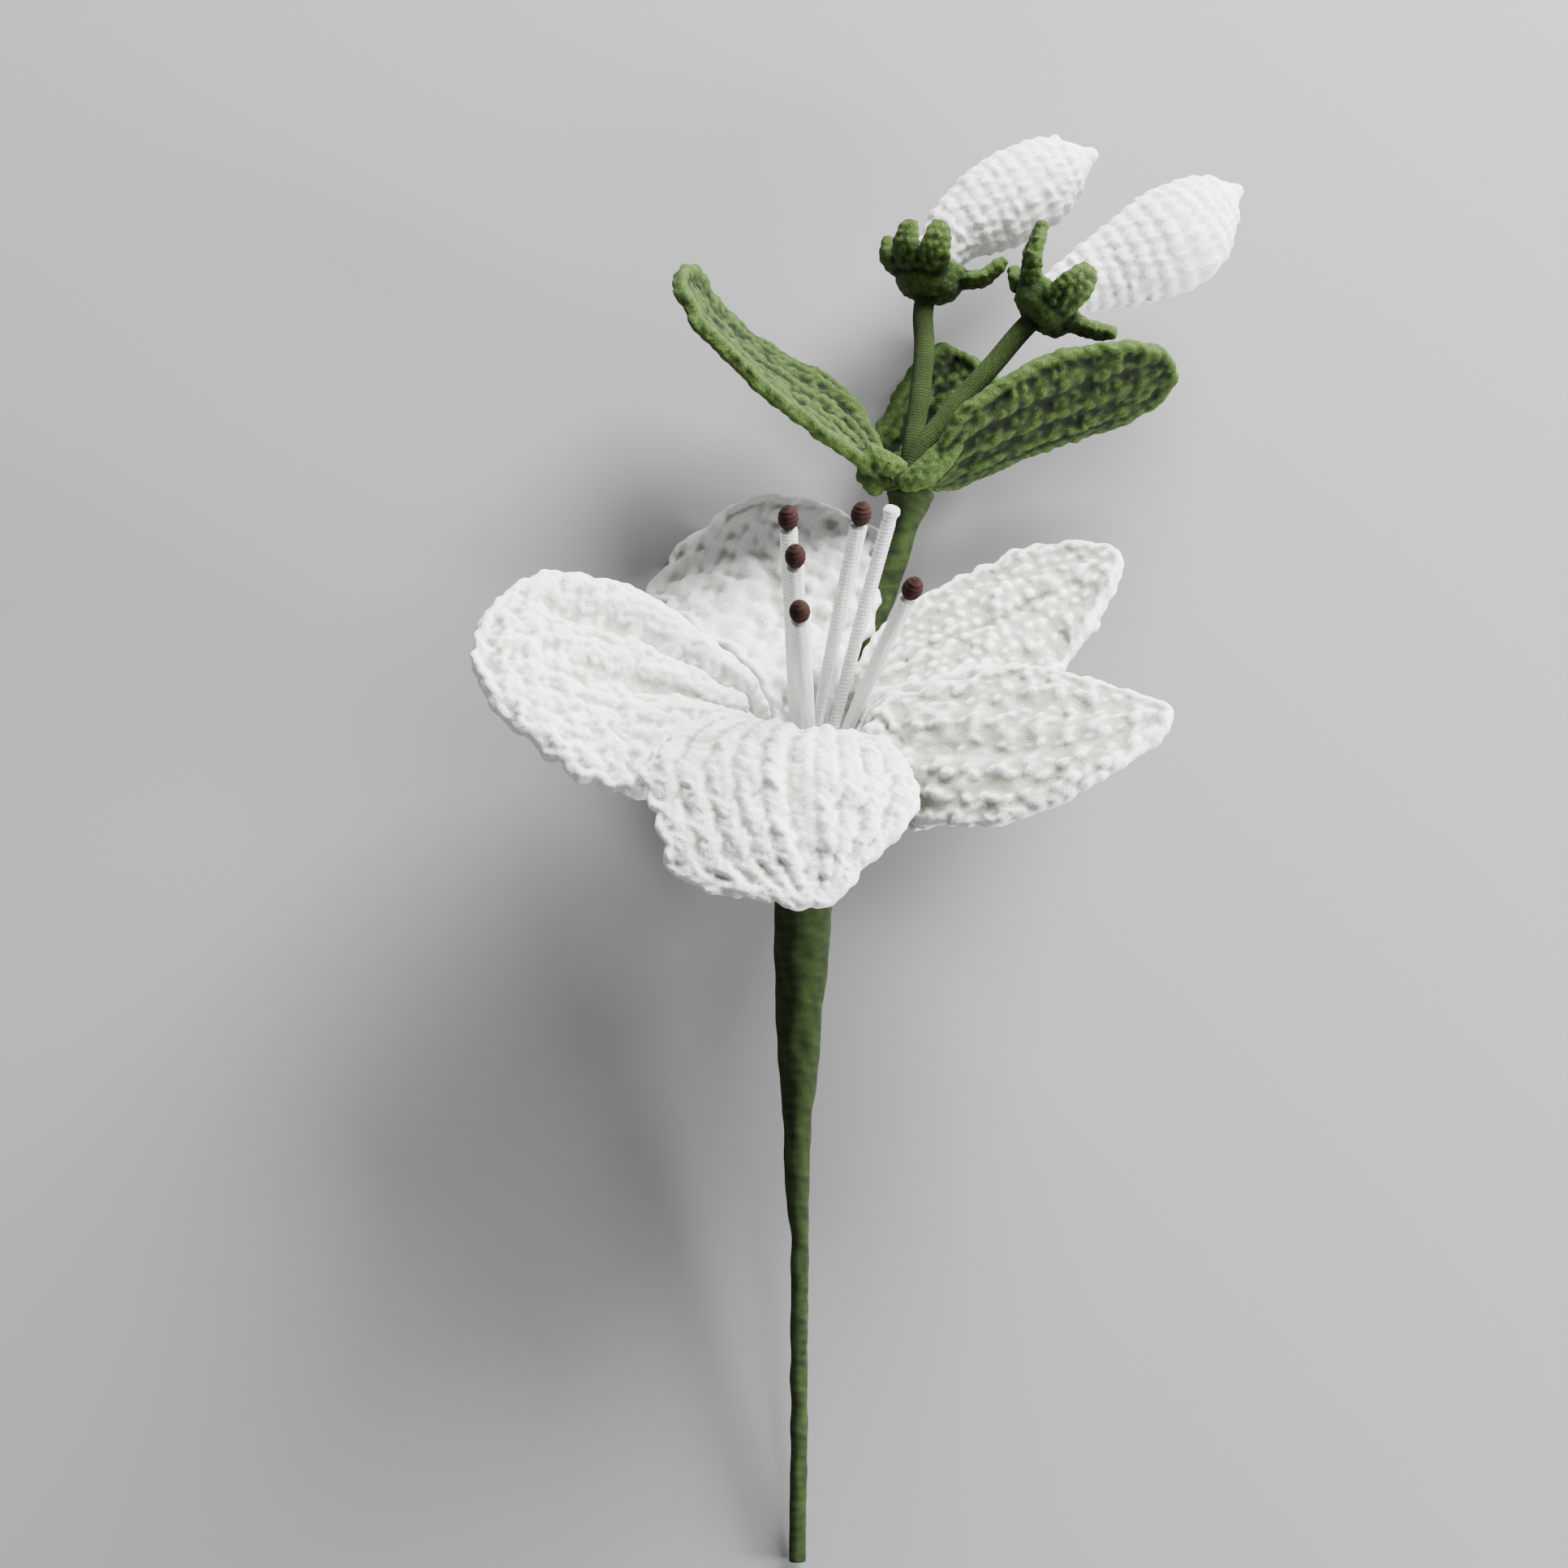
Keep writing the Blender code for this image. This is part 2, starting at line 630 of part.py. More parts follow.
BUDS = {
    "left": (
        CALYX_LEFT,
        CALYX_LEFT_WAY,
        (
            (32.3, 25.8, 274.4, 6.4),
            (41.2, 27.0, 280.8, 9.3),
            (47.6, 27.8, 284.4, 9.6),
            (54.5, 28.8, 288.8, 7.8),
            (59.6, 29.6, 291.3, 4.2),
            (62.4, 30.0, 292.6, 1.3),
        ),
    ),
    "right": (
        CALYX_RIGHT,
        CALYX_RIGHT_WAY,
        (
            (62.0, 15.2, 264.8, 7.2),
            (70.2, 16.2, 268.4, 9.7),
            (78.9, 17.5, 273.3, 11.0),
            (85.4, 18.8, 279.0, 8.1),
            (89.3, 19.5, 281.8, 4.5),
            (91.8, 20.0, 283.2, 1.5),
        ),
    ),
}
BUD_FLATNESS = 0.78


def buds(finish, stuffing, lay):
    for side, (seat, way, free) in BUDS.items():
        way = unit(way)
        line = [(*(seat + BUD_SEAT * way), 3.4), (*(seat + BUD_NECK * way), 4.4), *free]
        line = smooth_path(line, BUD_ROUNDS)
        facing = np.array((-1.0, 0.0, 1.0))
        flatten = np.clip(np.linspace(0, 3, BUD_ROUNDS), 0, 1)
        thin = line[:, 3] * (1 - (1 - BUD_FLATNESS) * flatten)
        outer = rings(line[:, :3], line[:, 3], thin, BUD_SIDES, facing, BUD_ROUND)
        hollow = slice(0, BUD_ROUNDS - 2, 2)
        room = line[hollow, 3] - BUD_WALL
        thin_room = thin[hollow] - BUD_WALL
        inner = rings(line[hollow, :3], room, thin_room, BUD_SIDES, facing)
        solid("bud_" + side, *tube(outer, inner), finish, lay)
        filled = slice(2, BUD_ROUNDS - 3, 2)
        wide_core = line[filled, 3] - BUD_WALL - 2 * GAP
        thin_core = thin[filled] - BUD_WALL - 2 * GAP
        shape = tube(rings(line[filled, :3], wide_core, thin_core, FILLING_SIDES, facing))
        solid("bud_filling_" + side, *shape, stuffing, lay)


# Laying the spray down

def lay_down(lay):
    """Turns the spray onto its back, drops it onto the surface and centres it over the origin."""
    turn = Matrix.Rotation(LAY_ROLL, 4, "Y") @ Matrix.Rotation(LAY_TILT - pi / 2, 4, "X")
    lay.matrix_world = turn
    bpy.context.view_layer.update()
    corners = []
    for piece in lay.children:
        corners += [piece.matrix_world @ corner.co for corner in piece.data.vertices]
    corners = np.array(corners)
    low = corners.min(axis=0)
    high = corners.max(axis=0)
    shift = Vector((-(low[0] + high[0]) / 2, -(low[1] + high[1]) / 2, -low[2]))
    lay.matrix_world = Matrix.Translation(shift) @ turn


def main():
    clear_scene()
    lay = bpy.data.objects.new("lay", None)
    bpy.context.scene.collection.objects.link(lay)
    white = material("white_yarn", (0.86, 0.87, 0.86), 0.9)
    shaded_green = material("green_tape", (0.09, 0.16, 0.045), 0.85)
    green = material("green_yarn", (0.14, 0.24, 0.07), 0.9)
    brown = material("brown_thread", (0.05, 0.018, 0.014), 0.7)
    steel = material("florist_wire", (0.55, 0.56, 0.57), 0.4, 1.0)
    stuffing = material("fibre_filling", (0.85, 0.85, 0.84), 1.0)
    main_stem(shaded_green, steel, lay)
    side_branch(shaded_green, steel, lay)
    bud_stems(shaded_green, steel, lay)
    petals(white, lay)
    stamens(white, brown, steel, lay)
    leaves(green, lay)
    calyx("calyx_left", CALYX_LEFT, CALYX_LEFT_WAY, green, lay)
    calyx("calyx_right", CALYX_RIGHT, CALYX_RIGHT_WAY, green, lay)
    buds(white, stuffing, lay)
    lay_down(lay)


main()
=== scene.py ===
# %% [markdown]
# # A crocheted azalea spray
# The real thing is yarn, wire and tape: one open white bloom, two closed buds and three leaves
# on a wound stem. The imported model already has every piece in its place, but as plain solids.
# Here each solid gets a finer piece of the same form, worked stitch by stitch, and a finish.
# No stitch is placed by hand. A spray has thousands of them, and a rule can be changed in one
# place when the work looks too tight or too even.

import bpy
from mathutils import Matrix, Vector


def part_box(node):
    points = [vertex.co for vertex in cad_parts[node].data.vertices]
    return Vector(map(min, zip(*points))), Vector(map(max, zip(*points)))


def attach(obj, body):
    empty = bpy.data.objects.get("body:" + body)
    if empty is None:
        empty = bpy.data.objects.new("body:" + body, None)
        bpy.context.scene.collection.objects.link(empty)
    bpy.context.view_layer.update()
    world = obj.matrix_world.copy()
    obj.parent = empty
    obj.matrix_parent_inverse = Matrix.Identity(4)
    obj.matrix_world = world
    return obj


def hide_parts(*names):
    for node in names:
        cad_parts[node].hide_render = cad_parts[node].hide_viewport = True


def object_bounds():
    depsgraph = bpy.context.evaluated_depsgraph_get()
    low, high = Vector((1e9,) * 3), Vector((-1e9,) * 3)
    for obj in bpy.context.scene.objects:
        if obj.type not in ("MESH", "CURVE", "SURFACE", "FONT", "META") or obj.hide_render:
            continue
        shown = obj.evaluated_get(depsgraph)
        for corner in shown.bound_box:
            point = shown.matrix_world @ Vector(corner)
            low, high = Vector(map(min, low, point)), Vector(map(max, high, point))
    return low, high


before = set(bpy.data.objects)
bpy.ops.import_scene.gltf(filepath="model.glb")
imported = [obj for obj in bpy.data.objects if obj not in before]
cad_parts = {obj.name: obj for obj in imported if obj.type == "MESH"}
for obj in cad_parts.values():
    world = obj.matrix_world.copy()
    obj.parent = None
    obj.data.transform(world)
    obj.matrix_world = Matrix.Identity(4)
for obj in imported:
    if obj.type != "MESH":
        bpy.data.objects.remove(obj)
cad_low, cad_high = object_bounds()
cad_size = [round(side * 1000, 1) for side in cad_high - cad_low]
print("nodes:", len(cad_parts), "size in mm:", cad_size)

# %% [markdown]
# ## Measures
# Blender counts in metres, but nobody measures a stitch in them. So every length below is a
# real size in millimetres, and only the last step of each mesh turns it into metres. Lists of
# points are held in arrays, because one sum can then be done for a whole petal at once.

# %% Libraries and measures
from math import cos, pi, radians, sin

import bpy
import numpy as np
from mathutils import Matrix, Vector

MM = 0.001
RIGHT = np.array((1.0, 0.0, 0.0))
print("one millimetre is", MM, "of Blender's units")

# %% [markdown]
# ## Smooth lines through a few points
# A petal or a stem is known at a few places only. A curve that passes through each of them,
# with its slope taken from its neighbours, gives all the places in between. Blender's own curve
# objects could do this too, but here the same rule as in the solids keeps both alike. Round
# pieces are then rings of points, set square to such a line.

# %% Lines and rings
def unit(vectors):
    return vectors / np.linalg.norm(vectors, axis=-1, keepdims=True)


def distances(points):
    """How far along its own chord each point lies, starting at 0."""
    steps = np.linalg.norm(np.diff(points, axis=0), axis=1)
    return np.concatenate(([0.0], np.cumsum(steps)))


def through(knots, values, where):
    """Reads a smooth curve that passes through each value at its knot."""
    slopes = np.gradient(values, knots, axis=0)
    at = np.clip(np.searchsorted(knots, where, side="right") - 1, 0, len(knots) - 2)
    width = knots[at + 1] - knots[at]
    t = (where - knots[at]) / width
    shape = (-1,) + (1,) * (values.ndim - 1)
    t = t.reshape(shape)
    width = width.reshape(shape)
    start = (1 + 2 * t) * (1 - t) ** 2 * values[at]
    leave = t * (1 - t) ** 2 * width * slopes[at]
    end = t**2 * (3 - 2 * t) * values[at + 1]
    arrive = t**2 * (t - 1) * width * slopes[at + 1]
    return start + leave + end + arrive


def smooth_path(points, count):
    """Evenly spaced places along a smooth line through x, y, z and radius."""
    points = np.asarray(points, float)
    knots = distances(points[:, :3])
    return through(knots, points, np.linspace(0, knots[-1], count))


def rings(path, wide, thin, sides, facing):
    """Oval rings square to a path; facing is roughly the way of each ring's wide half."""
    tangents = unit(np.gradient(path, axis=0))
    facing = np.asarray(facing, float)
    first = unit(facing - (tangents @ facing)[:, None] * tangents)
    second = np.cross(tangents, first)
    turns = np.arange(sides) * 2 * pi / sides
    wide = np.broadcast_to(np.asarray(wide).reshape(len(path), -1), (len(path), sides))
    thin = np.broadcast_to(np.asarray(thin).reshape(len(path), -1), (len(path), sides))
    return (
        path[:, None]
        + (wide * np.cos(turns))[..., None] * first[:, None]
        + (thin * np.sin(turns))[..., None] * second[:, None]
    )


print("a line is a list of x, y, z and radius")

# %% [markdown]
# ## From upright to lying
# The spray is described upright, as it is held while it is made: +X to its right, +Y away from
# the side that the bloom faces, +Z up the stem. The real one lies on a table, so every point is
# turned by the same two angles as the solids. How far to shift it is read from the wire in the
# stem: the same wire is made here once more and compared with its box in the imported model.

# %% Lay the spray down
LAY_TILT = radians(7.9)
LAY_ROLL = radians(-0.45)
THROAT = np.array((2.3, 0.0, 157.6))
BLOOM_LEAN = radians(38)
AXIS = np.array((0.0, -sin(BLOOM_LEAN), cos(BLOOM_LEAN)))
FRONT = np.array((0.0, -cos(BLOOM_LEAN), -sin(BLOOM_LEAN)))
GAP = 0.3
SHOULDER_RADIUS = 7.5
STEM_LINE = (
    (-0.3, 5.0, 0.0, 1.7),
    (0.0, 5.0, 32.0, 1.72),
    (0.1, 5.0, 61.0, 1.8),
    (0.2, 5.0, 67.5, 1.85),
    (-0.2, 5.0, 72.6, 2.25),
    (-0.5, 5.0, 82.5, 2.65),
    (-0.3, 5.0, 91.5, 3.0),
    (-0.2, 5.0, 97.4, 3.7),
    (-0.1, 5.0, 102.3, 4.25),
    (0.0, 5.0, 112.2, 4.7),
    (0.4, 5.0, 122.1, 5.5),
    (0.8, 5.0, 133.0, 5.85),
    (1.2, 5.3, 140.0, 6.3),
    (1.8, 5.0, 147.0, 6.9),
    (*(THROAT - 4.5 * AXIS), 7.3),
    (*(THROAT - GAP * AXIS), SHOULDER_RADIUS),
)
STEM_PLACES = 25
WIRE_PLACES = slice(0, 20, 3)
STEM_WIRE = 0.8
WIRE_SIDES = 8

turn = Matrix.Rotation(LAY_ROLL, 4, "Y") @ Matrix.Rotation(LAY_TILT - pi / 2, 4, "X")
turn_rows = np.array(turn.to_3x3())
core = smooth_path(STEM_LINE, STEM_PLACES)[WIRE_PLACES, :3]
core[-1, 2] -= 2 * GAP
thick = np.full(len(core), STEM_WIRE)
wire = rings(core, thick, thick, WIRE_SIDES, RIGHT).reshape(-1, 3) * MM @ turn_rows.T
shift = np.array(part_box("stem_wire")[0]) - wire.min(axis=0)


def laid(points):
    """Upright millimetres to lying metres."""
    return np.asarray(points, float) * MM @ turn_rows.T + shift


print("shift in mm:", np.round(shift / MM, 2))

# %% [markdown]
# ## The camera
# The photograph looks square onto the open bloom from about 70 cm away. The camera hangs there
# over the lying spray. Its angle of view is what makes the picture's frame 319 mm wide at the
# stem, so that each part of the spray falls on its own place in the picture.

# %% Camera
CAMERA_AT = (-3.1, -700.0, 159.06)
HALF_FRAME = 159.39
SENSOR = 36.0
NEAREST = 0.02
FARTHEST = 20

camera_data = bpy.data.cameras.new("camera")
camera_data.sensor_width = SENSOR
camera_data.lens = SENSOR / 2 / (HALF_FRAME / abs(CAMERA_AT[1]))
camera_data.clip_start = NEAREST
camera_data.clip_end = FARTHEST
camera = bpy.data.objects.new("camera", camera_data)
bpy.context.scene.collection.objects.link(camera)
upright_view = Matrix.Translation(Vector(CAMERA_AT) * MM) @ Matrix.Rotation(pi / 2, 4, "X")
camera.matrix_world = Matrix.Translation(Vector(shift)) @ turn @ upright_view
bpy.context.scene.camera = camera
print("lens in mm:", round(camera_data.lens, 1))

# %% [markdown]
# ## Floor and light
# The spray lies on pale matt paper. In the photograph the light comes from above the buds and
# from the right: the left petal is bright, the tip of the back petal is in its own shade, and
# the stem has one light side. One wide key lamp there gives soft shadow edges, which make yarn
# look soft, and a second, lower lamp on the right lights that side of the stem. An even grey
# sky fills the rest. A small hard lamp would show more relief, but every stitch would then
# throw a sharp shadow, as gravel does.

# %% Floor and lights
FLOOR_HALF = 3.0
FLOOR_DROP = 0.0004
FLOOR_GREY = 0.21
PAPER_ROUGHNESS = 0.9
SKY = 0.45
LIGHTS = {
    "key": {"place": (0.46, 0.93, 0.50), "width": 0.75, "watts": 90.0},
    "side": {"place": (0.95, -0.20, 0.28), "width": 0.40, "watts": 30.0},
}


def plain_material(name, colour, roughness):
    made = bpy.data.materials.new(name)
    made.use_nodes = True
    shader = made.node_tree.nodes["Principled BSDF"]
    shader.inputs["Base Color"].default_value = (*colour, 1.0)
    shader.inputs["Roughness"].default_value = roughness
    return made


floor_corners = ((-1, -1), (1, -1), (1, 1), (-1, 1))
corners = [(x * FLOOR_HALF, y * FLOOR_HALF, -FLOOR_DROP) for x, y in floor_corners]
floor_mesh = bpy.data.meshes.new("floor")
floor_mesh.from_pydata(corners, [], [(0, 1, 2, 3)])
floor_mesh.materials.append(plain_material("floor_paper", (FLOOR_GREY,) * 3, PAPER_ROUGHNESS))
floor = bpy.data.objects.new("floor", floor_mesh)
bpy.context.scene.collection.objects.link(floor)

for name, light in LIGHTS.items():
    lamp = bpy.data.lights.new(name, "AREA")
    lamp.shape = "DISK"
    lamp.size = light["width"]
    lamp.energy = light["watts"]
    holder = bpy.data.objects.new(name, lamp)
    holder.location = light["place"]
    holder.rotation_euler = Vector(light["place"]).to_track_quat("Z", "Y").to_euler()
    bpy.context.scene.collection.objects.link(holder)

world = bpy.data.worlds.new("sky")
world.use_nodes = True
world.node_tree.nodes["Background"].inputs["Color"].default_value = (1.0, 1.0, 1.0, 1.0)
world.node_tree.nodes["Background"].inputs["Strength"].default_value = SKY
bpy.context.scene.world = world
print("lights:", ", ".join(LIGHTS))

# %% [markdown]
# ## What yarn does to light
# Yarn is a twist of fine fibres. Close up, each strand shows its twist and some loose fibres
# that catch the light, the hollows between strands are darker, and tape is lighter here and
# darker there. These effects could be painted into a picture, but a picture has one size only.
# Nodes work them out at any size. The darker hollows are painted shade in the colour, and the
# light on the fibres is a painted highlight. Two node groups make them, so that white, green
# and brown yarn can share them. They read marks that every mesh below carries: how far along
# and around the strand a point lies, its shade, and its crown, which is how far it stands out.
# Felted pieces leave the first two at zero, so that their fibres follow the piece itself.

# %% Helpers for shader nodes
def group(name, inputs, outputs):
    """An empty shader group with these sockets, and its two end nodes."""
    made = bpy.data.node_groups.new(name, "ShaderNodeTree")
    for kind, label, value in inputs:
        socket = made.interface.new_socket(label, in_out="INPUT", socket_type=kind)
        socket.default_value = value
    for kind, label in outputs:
        made.interface.new_socket(label, in_out="OUTPUT", socket_type=kind)
    return made, made.nodes.new("NodeGroupInput"), made.nodes.new("NodeGroupOutput")


def wire_up(tree, source, target):
    """Links a socket, or sets a plain value."""
    if isinstance(source, bpy.types.NodeSocket):
        tree.links.new(source, target)
    else:
        target.default_value = source


def sum_node(tree, operation, first, second=0.0, third=0.0):
    made = tree.nodes.new("ShaderNodeMath")
    made.operation = operation
    for socket, value in zip(made.inputs, (first, second, third)):
        wire_up(tree, value, socket)
    return made.outputs[0]


def stretched(tree, value, low, high, kind="LINEAR"):
    """Spreads the values from low to high over 0 to 1."""
    made = tree.nodes.new("ShaderNodeMapRange")
    made.interpolation_type = kind
    made.inputs["From Min"].default_value = low
    made.inputs["From Max"].default_value = high
    wire_up(tree, value, made.inputs["Value"])
    return made.outputs[0]


def mark(tree, name):
    """The value that a mesh carries under this name."""
    made = tree.nodes.new("ShaderNodeAttribute")
    made.attribute_name = name
    return made.outputs["Fac"]


def mixed(tree, share, first, second):
    made = tree.nodes.new("ShaderNodeMix")
    made.data_type = "RGBA"
    wire_up(tree, share, made.inputs["Factor"])
    wire_up(tree, first, made.inputs["A"])
    wire_up(tree, second, made.inputs["B"])
    return made.outputs["Result"]


def noise(tree, vector, scale, detail=2.0, curl=0.0):
    made = tree.nodes.new("ShaderNodeTexNoise")
    wire_up(tree, vector, made.inputs["Vector"])
    wire_up(tree, scale, made.inputs["Scale"])
    made.inputs["Detail"].default_value = detail
    made.inputs["Distortion"].default_value = curl
    return made.outputs["Fac"]


def place_group(tree, made, **values):
    """One use of a group, with its inputs linked or set by name."""
    node = tree.nodes.new("ShaderNodeGroup")
    node.node_tree = made
    for label, value in values.items():
        wire_up(tree, value, node.inputs[label.replace("_", " ")])
    return node


print("node helpers ready")

# %% [markdown]
# ## The twist and the loose fibres
# Two things roughen a strand. Its plies wind round each other, which is a wave over the length
# and the turn together. And loose fibres lie over them, mostly along the strand and a little
# across it. The fibres are noise that is drawn out one way, once along and once across, where
# the lighter of the two shows. Some curl bends them, since straight ones look like woven cloth.

# %% Group: the twist of a strand
FIBRE_ALONG = 0.8
FIBRE_AROUND = 3.0
FIBRE_APART = 60.0
FIBRE_DRAWS = ((2400.0, 900.0, 1600.0), (900.0, 2400.0, 1600.0))
FIBRE_DETAIL = 2.0
FIBRE_CURL = 1.6
FIBRE_STARTS = 0.42
FIBRE_FULL = 0.74


def twist_group():
    made, start, end = group(
        "yarn_twist",
        (
            ("NodeSocketFloat", "Plies", 3.0),
            ("NodeSocketFloat", "Turns per mm", 0.35),
            ("NodeSocketFloat", "Fibre", 0.5),
        ),
        (("NodeSocketFloat", "Height"), ("NodeSocketFloat", "Fibres")),
    )
    along = mark(made, "along")
    turned = sum_node(made, "MULTIPLY", along, start.outputs["Turns per mm"])
    phase = sum_node(made, "ADD", turned, mark(made, "around"))
    phase = sum_node(made, "MULTIPLY", phase, start.outputs["Plies"])
    wave = sum_node(made, "SINE", sum_node(made, "MULTIPLY", phase, 2 * pi))
    ply = sum_node(made, "MULTIPLY_ADD", wave, 0.5, 0.5)
    spot = made.nodes.new("ShaderNodeCombineXYZ")
    wire_up(made, sum_node(made, "MULTIPLY", along, FIBRE_ALONG), spot.inputs["X"])
    wire_up(made, sum_node(made, "MULTIPLY", phase, FIBRE_AROUND), spot.inputs["Y"])
    wire_up(made, sum_node(made, "MULTIPLY", mark(made, "shade"), FIBRE_APART), spot.inputs["Z"])
    place = made.nodes.new("ShaderNodeTexCoord")
    drawn = []
    for draw in FIBRE_DRAWS:
        loose = made.nodes.new("ShaderNodeVectorMath")
        loose.operation = "MULTIPLY_ADD"
        wire_up(made, place.outputs["Object"], loose.inputs[0])
        loose.inputs[1].default_value = draw
        wire_up(made, spot.outputs[0], loose.inputs[2])
        drawn.append(noise(made, loose.outputs[0], 1.0, FIBRE_DETAIL, FIBRE_CURL))
    fibres = stretched(made, sum_node(made, "MAXIMUM", *drawn), FIBRE_STARTS, FIBRE_FULL)
    rough = sum_node(made, "MULTIPLY", fibres, start.outputs["Fibre"])
    wire_up(made, sum_node(made, "ADD", ply, rough), end.inputs["Height"])
    wire_up(made, fibres, end.inputs["Fibres"])
    return made


TWIST = twist_group()
print("group:", TWIST.name)

# %% [markdown]
# ## The colour of a stitch
# Three colours make a stitch: the hollow beside it, its body, and its crown, where fibres catch
# the light. The hollow colour is painted shade and the crown colour is a painted highlight. The
# crown mark of the mesh chooses between hollow and body, so the painted shade lies in the real
# hollows, and the fibres and the crown together bring in the painted highlight. Real shadow
# falls in the hollows too, and the painted shade makes them darker still.

# %% Group: the colour of a stitch
HOLLOW_UP_TO = 0.2
BODY_FROM = 0.75
FIBRE_LIGHT = 0.7
CROWN_LIGHT = 0.15


def tint_group():
    made, start, end = group(
        "stitch_tint",
        (
            ("NodeSocketColor", "Hollow", (0.3, 0.3, 0.3, 1)),
            ("NodeSocketColor", "Yarn", (0.8, 0.8, 0.8, 1)),
            ("NodeSocketColor", "Crown", (0.9, 0.9, 0.9, 1)),
            ("NodeSocketFloat", "Fibres", 0.5),
            ("NodeSocketFloat", "Uneven", 0.3),
        ),
        (("NodeSocketColor", "Colour"),),
    )
    # painted shade: the hollow colour where the crown mark is low
    crown = mark(made, "crown")
    risen = stretched(made, crown, HOLLOW_UP_TO, BODY_FROM, "SMOOTHSTEP")
    body = mixed(made, risen, start.outputs["Hollow"], start.outputs["Yarn"])
    spread = sum_node(made, "SUBTRACT", mark(made, "shade"), 0.5)
    spread = sum_node(made, "MULTIPLY", spread, start.outputs["Uneven"])
    # painted highlight: fibres on the crowns lighten the colour towards the crown colour
    light = sum_node(made, "MULTIPLY_ADD", start.outputs["Fibres"], FIBRE_LIGHT, CROWN_LIGHT)
    light = sum_node(made, "MULTIPLY", light, crown)
    light = sum_node(made, "ADD", light, spread)
    wire_up(made, mixed(made, light, body, start.outputs["Crown"]), end.inputs["Colour"])
    return made


TINT = tint_group()
print("group:", TINT.name)

# %% [markdown]
# ## Yarn, tape and thread
# Soft yarn is matt, with a faint glow where the light grazes its loose fibres, which Blender
# calls sheen. White yarn also lets some light through its strands, which is subsurface light
# and keeps its hollows from going grey. The same recipe with other colours and another twist
# gives the white yarn of the bloom, the green yarn of the leaves, the dark tape of the stems
# and the brown thread of the anthers.

# %% The recipe for yarn
YARN_GLOSS = 0.15
SHEEN_SPREAD = 0.45
LIGHT_SINKS = 1.2


def yarn_material(name, *, hollow, body, crown, plies, turns, fibre, uneven, rough, sheen, depth, soft):
    """depth is the height of the twist in millimetres, soft the share of light that sinks in."""
    made = bpy.data.materials.new(name)
    made.use_nodes = True
    tree = made.node_tree
    shader = tree.nodes["Principled BSDF"]
    twist = place_group(tree, TWIST, Plies=plies, Turns_per_mm=turns, Fibre=fibre)
    tint = place_group(
        tree,
        TINT,
        Hollow=(*hollow, 1),
        Yarn=(*body, 1),
        Crown=(*crown, 1),
        Fibres=twist.outputs["Fibres"],
        Uneven=uneven,
    )
    wire_up(tree, tint.outputs["Colour"], shader.inputs["Base Color"])
    bump = tree.nodes.new("ShaderNodeBump")
    bump.inputs["Distance"].default_value = depth * MM
    bump.inputs["Strength"].default_value = 1.0
    wire_up(tree, twist.outputs["Height"], bump.inputs["Height"])
    wire_up(tree, bump.outputs["Normal"], shader.inputs["Normal"])
    shader.inputs["Roughness"].default_value = rough
    shader.inputs["Specular IOR Level"].default_value = YARN_GLOSS
    shader.inputs["Sheen Weight"].default_value = sheen
    shader.inputs["Sheen Roughness"].default_value = SHEEN_SPREAD
    shader.inputs["Subsurface Weight"].default_value = soft
    shader.inputs["Subsurface Radius"].default_value = (1.0, 1.0, 1.0)
    shader.inputs["Subsurface Scale"].default_value = LIGHT_SINKS * MM
    return made


print("one recipe for all yarns")

# %% The four yarns
# in each yarn, hollow is painted shade for the hollows and the grooves between turns, and crown is a
# painted highlight
WHITE_YARN = yarn_material(
    "white_yarn",
    hollow=(0.35, 0.35, 0.30),
    body=(0.62, 0.63, 0.61),
    crown=(0.94, 0.95, 0.945),
    plies=3,
    turns=0.3,
    fibre=1.0,
    uneven=0.15,
    rough=0.85,
    sheen=0.1,
    depth=0.14,
    soft=0.2,
)
GREEN_YARN = yarn_material(
    "green_yarn",
    hollow=(0.003, 0.007, 0.001),
    body=(0.013, 0.030, 0.004),
    crown=(0.078, 0.132, 0.027),
    plies=3,
    turns=0.3,
    fibre=0.8,
    uneven=0.35,
    rough=0.8,
    sheen=0.03,
    depth=0.2,
    soft=0.0,
)
GREEN_TAPE = yarn_material(
    "green_tape",
    hollow=(0.001, 0.003, 0.0005),
    body=(0.003, 0.009, 0.001),
    crown=(0.055, 0.098, 0.016),
    plies=1,
    turns=0.0,
    fibre=1.6,
    uneven=0.6,
    rough=0.9,
    sheen=0.04,
    depth=0.12,
    soft=0.0,
)
BROWN_THREAD = yarn_material(
    "brown_thread",
    hollow=(0.002, 0.001, 0.001),
    body=(0.010, 0.003, 0.002),
    crown=(0.030, 0.009, 0.006),
    plies=1,
    turns=0.0,
    fibre=0.6,
    uneven=0.5,
    rough=0.8,
    sheen=0.0,
    depth=0.1,
    soft=0.0,
)
print("materials:", ", ".join(made.name for made in (WHITE_YARN, GREEN_YARN, GREEN_TAPE, BROWN_THREAD)))

# %% [markdown]
# ## Places on a worked surface
# Crochet is one long strand, pulled through itself, over a surface that bends. So a stitch is
# easiest to describe on the surface itself: so many rows up, so far across, so high above. A
# closed grid of points is that surface here. Blender could bend a flat pattern onto it with a
# modifier, but reading the grid directly lets each stitch fit the width that it finds.

# %% Reading a surface
def read(grid, row, column):
    """Reads a grid between its points. It is closed sideways and runs straight on past its ends."""
    rows, columns = grid.shape[:2]
    r = np.clip(np.floor(row).astype(int), 0, rows - 2)
    whole = np.floor(column).astype(int)
    c = whole % columns
    n = (whole + 1) % columns
    down = (row - r)[..., None]
    over = (column - whole)[..., None]
    first = grid[r, c] * (1 - over) + grid[r, n] * over
    second = grid[r + 1, c] * (1 - over) + grid[r + 1, n] * over
    return first * (1 - down) + second * down


